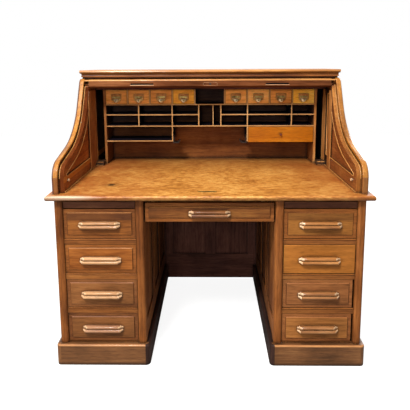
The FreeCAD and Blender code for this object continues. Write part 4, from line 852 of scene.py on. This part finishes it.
# beads around the panels of the roll section
beadLook = {"radius": 3.2, "lift": 1.2, "sink": 0.6, "edge": 2.4, "proud": -1.1,
            # which faces are meant: how flat and how far out in millimetres, how tall in metres
            "flat": 0.1, "panelTo": 7, "panelTall": 0.1, "liningNear": 0.5, "liningTall": 0.3,
            "foot": {"x": 1.4, "run": (-374, 146), "z": 774.4, "radius": 2.4}}


def boundaryOf(nodeName, keep):  # the outline of one face of a node, as a closed list of points
    mesh = nodes[nodeName].data
    for group in faceGroups(mesh):
        low, high = reachOf(mesh, group)
        if not keep(low, high):
            continue
        edges = {}
        for polygon in group:
            for a, b in polygon.edge_keys:
                edges[a, b] = edges.get((a, b), 0) + 1
        follow = {}
        for (a, b), count in edges.items():
            if count == 1:
                follow.setdefault(a, []).append(b)
                follow.setdefault(b, []).append(a)
        start = min(follow)
        chain, last, here = [start], None, start
        while True:
            onward = [n for n in follow[here] if n != last]
            last, here = here, onward[0]
            if here == start:
                break
            chain.append(here)
        return [mesh.vertices[i].co.copy() for i in chain]
    return None


def bead(name, points, radius, finish, closed=False):  # a round bead on the standing part; radius in mm
    curve = bpy.data.curves.new(name + "_line", "CURVE")
    curve.dimensions = "3D"
    curve.bevel_depth = radius * mm
    curve.bevel_resolution = 3
    run = curve.splines.new("POLY")
    run.points.add(len(points) - 1)
    for spot, point in zip(run.points, points):
        spot.co = (*point, 1.0)
    run.use_cyclic_u = closed
    curve.use_fill_caps = not closed
    carrier = bpy.data.objects.new(name + "_line", curve)
    bpy.context.scene.collection.objects.link(carrier)
    bpy.context.view_layer.update()
    data = bpy.data.meshes.new_from_object(carrier.evaluated_get(bpy.context.evaluated_depsgraph_get()))
    bpy.data.objects.remove(carrier)
    data.name = name
    data.materials.clear()
    settle(name, data, finish, "desk")


def inset(points, by):  # moves a closed outline in the YZ plane inwards, less at very sharp corners
    count = len(points)
    area = sum(points[i].y * points[(i + 1) % count].z - points[(i + 1) % count].y * points[i].z
               for i in range(count))
    turn = 1 if area > 0 else -1
    moved = []
    for i in range(count):
        before = (points[i] - points[i - 1]).normalized()
        after = (points[(i + 1) % count] - points[i]).normalized()
        normals = [Vector((0, -d.z, d.y)) * turn for d in (before, after)]
        middle = (normals[0] + normals[1]).normalized()
        moved.append(points[i] + middle * (by / max(0.4, middle.dot(normals[0]))))
    return moved


def frontRun(points):  # the part of the lining's outline that follows the curved front, from the foot up
    foot, head = min(p.z for p in points) + 1 * mm, max(p.z for p in points) - 1 * mm
    rear = max(p.y for p in points) - 1 * mm
    count = len(points)
    keep = [foot < p.z < head and p.y < rear for p in points]
    start = next(i for i in range(count) if keep[i] and not keep[i - 1])
    runs, here = [], []
    for i in range(start, start + count):
        if keep[i % count]:
            here.append(points[i % count].copy())
        elif here:
            runs.append(here)
            here = []
    if here:
        runs.append(here)
    best = max(runs, key=len)
    return best if best[0].z < best[-1].z else best[::-1]


def outward(points, by):  # moves an upward run of points in the YZ plane to its front side
    last = len(points) - 1
    runs = [points[min(i + 1, last)] - points[max(i - 1, 0)] for i in range(last + 1)]
    return [point + Vector((0, -run.z, run.y)).normalized() * by for point, run in zip(points, runs)]


linerLow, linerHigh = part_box("right_roll_liner")


def flatFace(sign, near, far, tall):  # the upright face of one side that lies between these distances
    def keep(low, high):
        middle = (low.x + high.x) / 2 * sign
        return near < middle < far and high.x - low.x < beadLook["flat"] * mm and high.z - low.z > tall
    return keep


for side, sign in sides.items():
    look, slot = beadLook, slotOf[side + "_roll_liner"]
    radius = look["radius"] * mm
    panelFace = flatFace(sign, 0, linerLow.x + look["panelTo"] * mm, look["panelTall"])
    outline = boundaryOf("liner_panels", panelFace)
    for point in outline:
        point.x = sign * (linerLow.x + look["lift"] * mm)
    bead(side + "_panel_bead", inset(outline, radius * look["sink"]), look["radius"],
         woods["beadOak", "z"], closed=True)

    near, far = [linerLow.x + way * look["liningNear"] * mm for way in (-1, 1)]
    rim = boundaryOf(side + "_roll_liner", flatFace(sign, near, far, look["liningTall"]))
    front = outward(frontRun(rim), look["proud"] * mm)
    for point in front:
        point.x = sign * (linerHigh.x - look["edge"] * mm)
    bead(side + "_liner_bead", front, look["edge"], woods["beadOak", "z"])

    foot = look["foot"]
    run = [Vector((sign * (linerLow.x - foot["x"] * mm), y * mm, foot["z"] * mm)) for y in foot["run"]]
    bead(side + "_foot_bead", run, foot["radius"], woods["beadOak", "y"])
print("panel beads laid")

railBeads = {  # in millimetres
    "levels": (571.6, 413.6, 255.6), "y": -394.2, "ends": 1, "radius": 2.0,
    "knee": {"x": 279.5, "lines": (-100, 108), "run": (175, 690), "radius": 2.4},
}
for side, sign in sides.items():
    look = railBeads
    low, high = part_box(side + "_drawer_rails")
    for number, level in enumerate(look["levels"]):
        run = [Vector((x, look["y"] * mm, level * mm)) for x in (low.x + look["ends"] * mm,
                                                                 high.x - look["ends"] * mm)]
        bead("%s_rail_bead_%d" % (side, number + 1), run, look["radius"], woods["frontOak", "x"])
    knee = look["knee"]
    for number, y in enumerate(knee["lines"]):
        run = [Vector((sign * knee["x"] * mm, y * mm, z * mm)) for z in knee["run"]]
        bead("%s_knee_bead_%d" % (side, number + 1), run, knee["radius"], woods["borderOak", "z"])
print("rail beads laid")


# stiles that hide the curtain's tail beside the gallery
stileLook = {  # in millimetres
    "thick": 3, "seat": 2, "foot": 773, "head": 1178, "shoulder": 1138, "slope": 18,
    "beadIn": 2.2, "beadProud": 0.8, "beadEnds": (1, -4), "beadRadius": 2.4,
    # side, part, its near and far edge, and the edges that have a bead
    "boards": (("left", "front", 46, 188, ("near", "far")), ("right", "front", 46, 100, ("near",)),
               ("right", "rear", 167, 222, ("far",))),
    "tones": {"left": "leftStileOak", "right": "stileOak"},
}
for side, part, near, far, beaded in stileLook["boards"]:
    sign, look = sides[side], stileLook
    inner = linerLow.x - look["thick"] * mm
    outline = [(near, look["foot"]), (near, look["shoulder"]), (near + look["slope"], look["head"]),
               (far, look["head"]), (far, look["foot"])]
    mesh = bmesh.new()
    loft(mesh, [[Vector((sign * x, y * mm, z * mm)) for y, z in outline]
                for x in (linerLow.x + look["seat"] * mm, inner)])
    slot = slotOf["liner_panels"]
    addPiece("%s_%s_stile" % (side, part), mesh, woods[look["tones"][side], "z"], "desk")
    beadAt = {"near": near + look["beadIn"], "far": far - look["beadIn"]}
    foot, head = look["foot"] + look["beadEnds"][0], look["shoulder"] + look["beadEnds"][1]
    x = sign * (inner + look["beadProud"] * mm)
    for end in beaded:
        run = [Vector((x, beadAt[end] * mm, z * mm)) for z in (foot, head)]
        bead("%s_%s_stile_%s_bead" % (side, part, end), run, look["beadRadius"], woods["beadOak", "z"])

sillBeads = {"levels": {"low": 774, "high": 791}, "y": 147.5, "run": (576, 615), "radius": 1.6}
for side, sign in sides.items():  # two thin beads across the front of each slot's sill
    for level, z in sillBeads["levels"].items():
        run = [Vector((sign * x * mm, sillBeads["y"] * mm, z * mm)) for x in sillBeads["run"]]
        bead("%s_sill_%s_bead" % (side, level), run, sillBeads["radius"], woods["beadOak", "x"])
print("slot stiles set")


# small brass: card holders with drop pulls on the gallery drawers
holderLook = {  # in millimetres
    "wide": 54, "high": 27, "bar": 3.6, "out": 2.2, "corner": 3.0, "cornerSteps": 4,
    "rise": 41.5, "gap": 0.1, "sharp": 50.0,  # the middle's height over the drawer's foot
    # the frame's section: a share of how proud it is, and of the bar's width, then a length of its own
    "section": ((0.0, 0.0, 0.0), (0.7, 0.0, -0.2), (1.0, -0.35, 0.0), (1.0, -0.7, 0.0), (0.6, -1.0, 0.0),
                (0.0, -1.0, 0.0)),
    "cardIn": 2.5, "cardOut": (0.1, 0.5),
}
apronLook = {"foot": 22, "high": 17, "bend": 0.35, "inset": 1.0, "overlap": 1.0,
             "section": ((0.0, 1.0), (1.2, 1.0), (1.6, 0.97))}
dropLook = {
    "wide": 25, "high": 17, "out": 18, "steps": 8, "gap": 0.6, "under": 1.5, "round": 0.8,
    # from the top down: share of the height, of the width and of how proud it is
    "rings": ((0.0, 0.80, 0.30), (0.12, 1.0, 0.66), (0.36, 0.96, 0.96), (0.68, 0.78, 1.0),
              (0.88, 0.56, 0.94), (1.0, 0.40, 0.66)),
}


def holderRing(mesh, x, y, z):  # a frame with rounded corners
    look, rings = holderLook, []
    halfWide, halfHigh = look["wide"] / 2, look["high"] / 2
    for out, share, grow in look["section"]:
        ring, soft = [], look["corner"] + (look["bar"] * share + grow)
        for first, sx, sz in ((0, 1, 1), (90, -1, 1), (180, -1, -1), (270, 1, -1)):
            for step in range(look["cornerSteps"]):
                turn = math.radians(first + step * 90 / (look["cornerSteps"] - 1))
                ring.append(Vector((x + (sx * (halfWide - look["corner"]) + soft * math.cos(turn)) * mm,
                                    y - look["out"] * out * mm,
                                    z + (sz * (halfHigh - look["corner"]) + soft * math.sin(turn)) * mm)))
        rings.append(ring)
    loft(mesh, rings, caps=False)


def plate(mesh, outline, section, x, y, z):  # a section entry is how far out, and the outline's scale there
    loft(mesh, [[Vector((x + a * scale * mm, y - out * mm, z + b * mm)) for a, b in outline]
                for out, scale in section])


def holderApron(mesh, x, y, z):  # the plate under the frame, tapering to the foot of the pull
    top, foot = holderLook["wide"] / 2 - apronLook["inset"], apronLook["foot"] / 2
    drop, bend = apronLook["high"], apronLook["high"] * apronLook["bend"]
    outline = [(-top, 0.0), (-top, -bend), (-foot, -drop), (foot, -drop), (top, -bend), (top, 0.0)]
    plate(mesh, outline, apronLook["section"], x, y, z)


def cardIn(mesh, x, y, z):
    halfWide, halfHigh = [holderLook[size] / 2 - holderLook["cardIn"] for size in ("wide", "high")]
    outline = [(-halfWide, -halfHigh), (halfWide, -halfHigh), (halfWide, halfHigh), (-halfWide, halfHigh)]
    plate(mesh, outline, [(out, 1.0) for out in holderLook["cardOut"]], x, y, z)


def dropPull(mesh, x, y, z):  # a tapering drop that flares towards its lower lip
    look, rings = dropLook, []
    for part, wide, out in look["rings"]:
        ring = []
        for step in range(look["steps"] + 1):
            turn = math.radians(step * 180 / look["steps"])
            atWall = step in (0, look["steps"])
            proud = 0.0 if atWall else look["out"] * out * math.sin(turn) ** look["round"]
            ring.append(Vector((x + look["wide"] / 2 * wide * math.cos(turn) * mm, y - proud * mm,
                                z - look["high"] * part * mm)))
        rings.append(ring)
    loft(mesh, rings)


for name in smallDrawers:
    low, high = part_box(name)
    x, face = (low.x + high.x) / 2, low.y + smallLook["front"]
    seat = face - holderLook["gap"] * mm
    middle = low.z + holderLook["rise"] * mm
    seam = middle - holderLook["high"] / 2 * mm
    brass, drop, paper = bmesh.new(), bmesh.new(), bmesh.new()
    holderRing(brass, x, seat, middle)
    holderApron(brass, x, seat, seam + apronLook["overlap"] * mm)
    addPiece(name + "_brass", brass, metals["brightBrass"], bodyOf[name], holderLook["sharp"])
    dropPull(drop, x, face - dropLook["gap"] * mm, seam - dropLook["under"] * mm)
    addPiece(name + "_drop", drop, metals["paintedSheenBrass"], bodyOf[name], holderLook["sharp"])
    cardIn(paper, x, seat, middle)
    addPiece(name + "_card", paper, card, bodyOf[name])
print("small brass fitted")


# lift rail: its moulding, the lips under the finger grips and the lock's escutcheon
steepTurn = math.radians(62.5)  # the rail's face rises at this angle, leaning back
steepUp = Vector((0, math.cos(steepTurn), math.sin(steepTurn)))
steepOut = Vector((0, -math.sin(steepTurn), math.cos(steepTurn)))
lockLook = {  # rounded rings as length, height and how proud they are
    "sink": 2.0, "steps": 8, "sharp": 60.0,
    "plate": ((74, 19, 0), (73.6, 18.6, 1.6), (73, 18, 2.2), (71, 16, 2.2), (70.4, 15.4, 1.0)),
    "bed": ((70.8, 15.8, 0.2), (70.8, 15.8, 0.8)), "post": ((9, 8.6, 1.0), (8.6, 8.2, 2.6)),
}
lockLow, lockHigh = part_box("lift_rail_lock")
lockSeat = (lockLow + lockHigh) / 2 - steepOut * lockLook["sink"] * mm


def stadium(long, high, out):  # a long ring with round ends, about the lock's middle
    points, steps = [], lockLook["steps"]
    for sign in (1, -1):
        for step in range(steps + 1):
            turn = math.radians(-90 + 180 * step / steps)
            along = sign * ((long - high) / 2 + math.cos(turn) * high / 2) * mm
            points.append(lockSeat + Vector((along, 0, 0))
                          + steepUp * (sign * math.sin(turn) * high / 2 * mm) + steepOut * (out * mm))
    return points


def lockPlate():
    ring, heart = bmesh.new(), bmesh.new()
    loft(ring, [stadium(*size) for size in lockLook["plate"]], caps=False)
    for part in ("bed", "post"):
        loft(heart, [stadium(*size) for size in lockLook[part]])
    sharp = lockLook["sharp"]
    escutcheon = addPiece("lock_escutcheon", ring, metals["wornBrass"], "lift_rail", sharp)
    # painted shade: the heart is a near-black plate where the keyhole's shade falls
    addPiece("lock_heart", heart, metals["keyholeShadeBlack"], "lift_rail", sharp)
    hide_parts("lift_rail_lock")


railPoints = [v.co for v in nodes["lift_rail"].data.vertices]
facing = max(p.dot(steepOut) for p in railPoints)
onFace = [p.dot(steepUp) for p in railPoints if p.dot(steepOut) > facing - 0.3 * mm]
railBase = steepOut * facing + steepUp * min(onFace)
railTall = (max(onFace) - min(onFace)) / mm
mouldingLook = {"from": 8.0, "to": 0.2, "proud": 1.4, "sink": 0.3, "ends": 3, "steps": 6, "sharp": 60.0}
gripLook = {"place": 343,  # from the middle to each grip
            "long": 122, "high": 4.0, "proud": 2.2, "rise": 3.6, "steps": 10,
            "ends": ((-1, 0.5), (-0.96, 1.0), (0.96, 1.0), (1, 0.5))}


def topMoulding():  # a shallow rounded moulding along the upper edge of the rail's face
    look = mouldingLook
    foot, head, reach = railTall - look["from"], railTall - look["to"], railHigh.x - look["ends"] * mm
    rings = []
    for x in (-reach, reach):
        ring = []
        for step in range(look["steps"] + 1):
            turn = math.pi * step / look["steps"]
            rise = (foot + head) / 2 - (head - foot) / 2 * math.cos(turn)
            ring.append(Vector((x, railBase.y, railBase.z)) + steepUp * rise * mm
                        + steepOut * (look["proud"] * math.sin(turn) - look["sink"]) * mm)
        rings.append(ring)
    mesh = bmesh.new()
    loft(mesh, rings)
    addPiece("rail_top_moulding", mesh, woods["beadOak", "x"], "lift_rail",
             look["sharp"])


def gripLip(side, sign):
    look, mesh = gripLook, bmesh.new()
    centre = railBase + steepUp * look["rise"] * mm
    centre.x = sign * look["place"] * mm
    rings = []
    for end, taper in look["ends"]:
        ring = []
        for step in range(look["steps"]):
            turn = math.radians(step * 360 / look["steps"])
            ring.append(centre + Vector((end * look["long"] / 2 * mm, 0, 0))
                        + steepUp * math.cos(turn) * look["high"] / 2 * taper * mm
                        + steepOut * math.sin(turn) * look["proud"] * taper * mm)
        rings.append(ring)
    loft(mesh, rings)
    addPiece(side + "_grip_lip", mesh, woods["gripOak", "x"], "lift_rail")


lockPlate()
topMoulding()
for side, sign in sides.items():
    gripLip(side, sign)
print("lift rail trimmed")


# room, lights and camera
roomLook = {"floor": (150, 150, 148), "floorGlow": 0.90, "floorRough": 0.9, "floorSize": 12.0,
            "worldLight": 0.22}


def paleFloor():  # it glows for the eye alone, so that it looks white and keeps the shadow
    bpy.ops.mesh.primitive_plane_add(size=roomLook["floorSize"], location=(0, 0, 0))
    floor = bpy.context.object
    floor.name = "paleFloor"
    shop = Shop("paleFloor")
    path = shop.node("ShaderNodeLightPath", output="Is Camera Ray")
    glow = roomLook["floorGlow"]
    shop.finish({"Base Color": linear(roomLook["floor"]), "Roughness": roomLook["floorRough"],
                 "Emission Strength": 1.0,
                 "Emission Color": shop.mix(path, (0, 0, 0, 1), (glow, glow, glow, 1))})
    floor.data.materials.append(shop.material)


def whiteRoom():  # the eye, gloss and glass see white; matt surfaces get a plain level of light
    world = bpy.data.worlds.new("room")
    bpy.context.scene.world = world
    world.use_nodes = True
    tree = world.node_tree
    dim, white = tree.nodes["Background"], tree.nodes.new("ShaderNodeBackground")
    for light, strength in ((dim, roomLook["worldLight"]), (white, 1.0)):
        light.inputs["Color"].default_value = (1, 1, 1, 1)
        light.inputs["Strength"].default_value = strength
    path = tree.nodes.new("ShaderNodeLightPath")
    seen = path.outputs["Is Camera Ray"]
    for kind in ("Is Glossy Ray", "Is Transmission Ray"):
        either = tree.nodes.new("ShaderNodeMath")
        either.operation = "MAXIMUM"
        tree.links.new(seen, either.inputs[0])
        tree.links.new(path.outputs[kind], either.inputs[1])
        seen = either.outputs[0]
    choose = tree.nodes.new("ShaderNodeMixShader")
    tree.links.new(seen, choose.inputs[0])
    tree.links.new(dim.outputs[0], choose.inputs[1])
    tree.links.new(white.outputs[0], choose.inputs[2])
    tree.links.new(choose.outputs[0], tree.nodes["World Output"].inputs["Surface"])


lamps = {
    "overhead": {"at": (-0.4, -1.2, 4.0), "aim": (0.0, -0.2, 0.7), "size": 0.8, "power": 55.0},
    "key": {"at": (-1.1, -2.8, 3.8), "aim": (0.0, -0.2, 0.7), "size": 0.7, "power": 172.0},
    "front": {"at": (-0.5, -3.5, 1.75), "aim": (0.0, 0.0, 1.0), "size": 0.6, "power": 17.0},
    "window": {"at": (-2.9, -1.3, 1.6), "aim": (-0.6, 0.0, 0.9), "size": 1.2, "power": 26.0},
    "rear": {"at": (2.6, 2.6, 2.4), "aim": (0.0, 0.2, 0.7), "size": 1.2, "power": 90.0},
}


def hangLamps():
    for name, lamp in lamps.items():
        data = bpy.data.lights.new(name, "AREA")
        data.size = lamp["size"]
        data.energy = lamp["power"]
        light = bpy.data.objects.new(name, data)
        bpy.context.scene.collection.objects.link(light)
        light.location = lamp["at"]
        aim = Vector(lamp["aim"]) - Vector(lamp["at"])
        light.rotation_euler = aim.to_track_quat("-Z", "Y").to_euler()


eyeLook = {"at": (0.01154, -2.2291, 1.3096), "yaw": -0.01556, "pitch": 0.14395, "roll": -0.0053,
           "lens": 39.51, "shift": -0.183}


def setCamera():
    yaw, pitch, roll = eyeLook["yaw"], eyeLook["pitch"], eyeLook["roll"]
    ahead = Vector((math.sin(yaw) * math.cos(pitch), math.cos(yaw) * math.cos(pitch), -math.sin(pitch)))
    right = Vector((math.cos(yaw), -math.sin(yaw), 0.0))
    up = right.cross(ahead)
    right, up = right * math.cos(roll) + up * math.sin(roll), up * math.cos(roll) - right * math.sin(roll)
    data = bpy.data.cameras.new("eye")
    data.sensor_width = 36.0
    data.lens = eyeLook["lens"]
    data.shift_y = eyeLook["shift"]
    camera = bpy.data.objects.new("eye", data)
    bpy.context.scene.collection.objects.link(camera)
    turn = Matrix((right, up, -ahead)).transposed()
    camera.matrix_world = Matrix.Translation(eyeLook["at"]) @ turn.to_4x4()
    bpy.context.scene.camera = camera


paleFloor()
whiteRoom()
hangLamps()
setCamera()
bpy.context.scene.view_settings.view_transform = "Standard"
print("room, lamps and camera set")
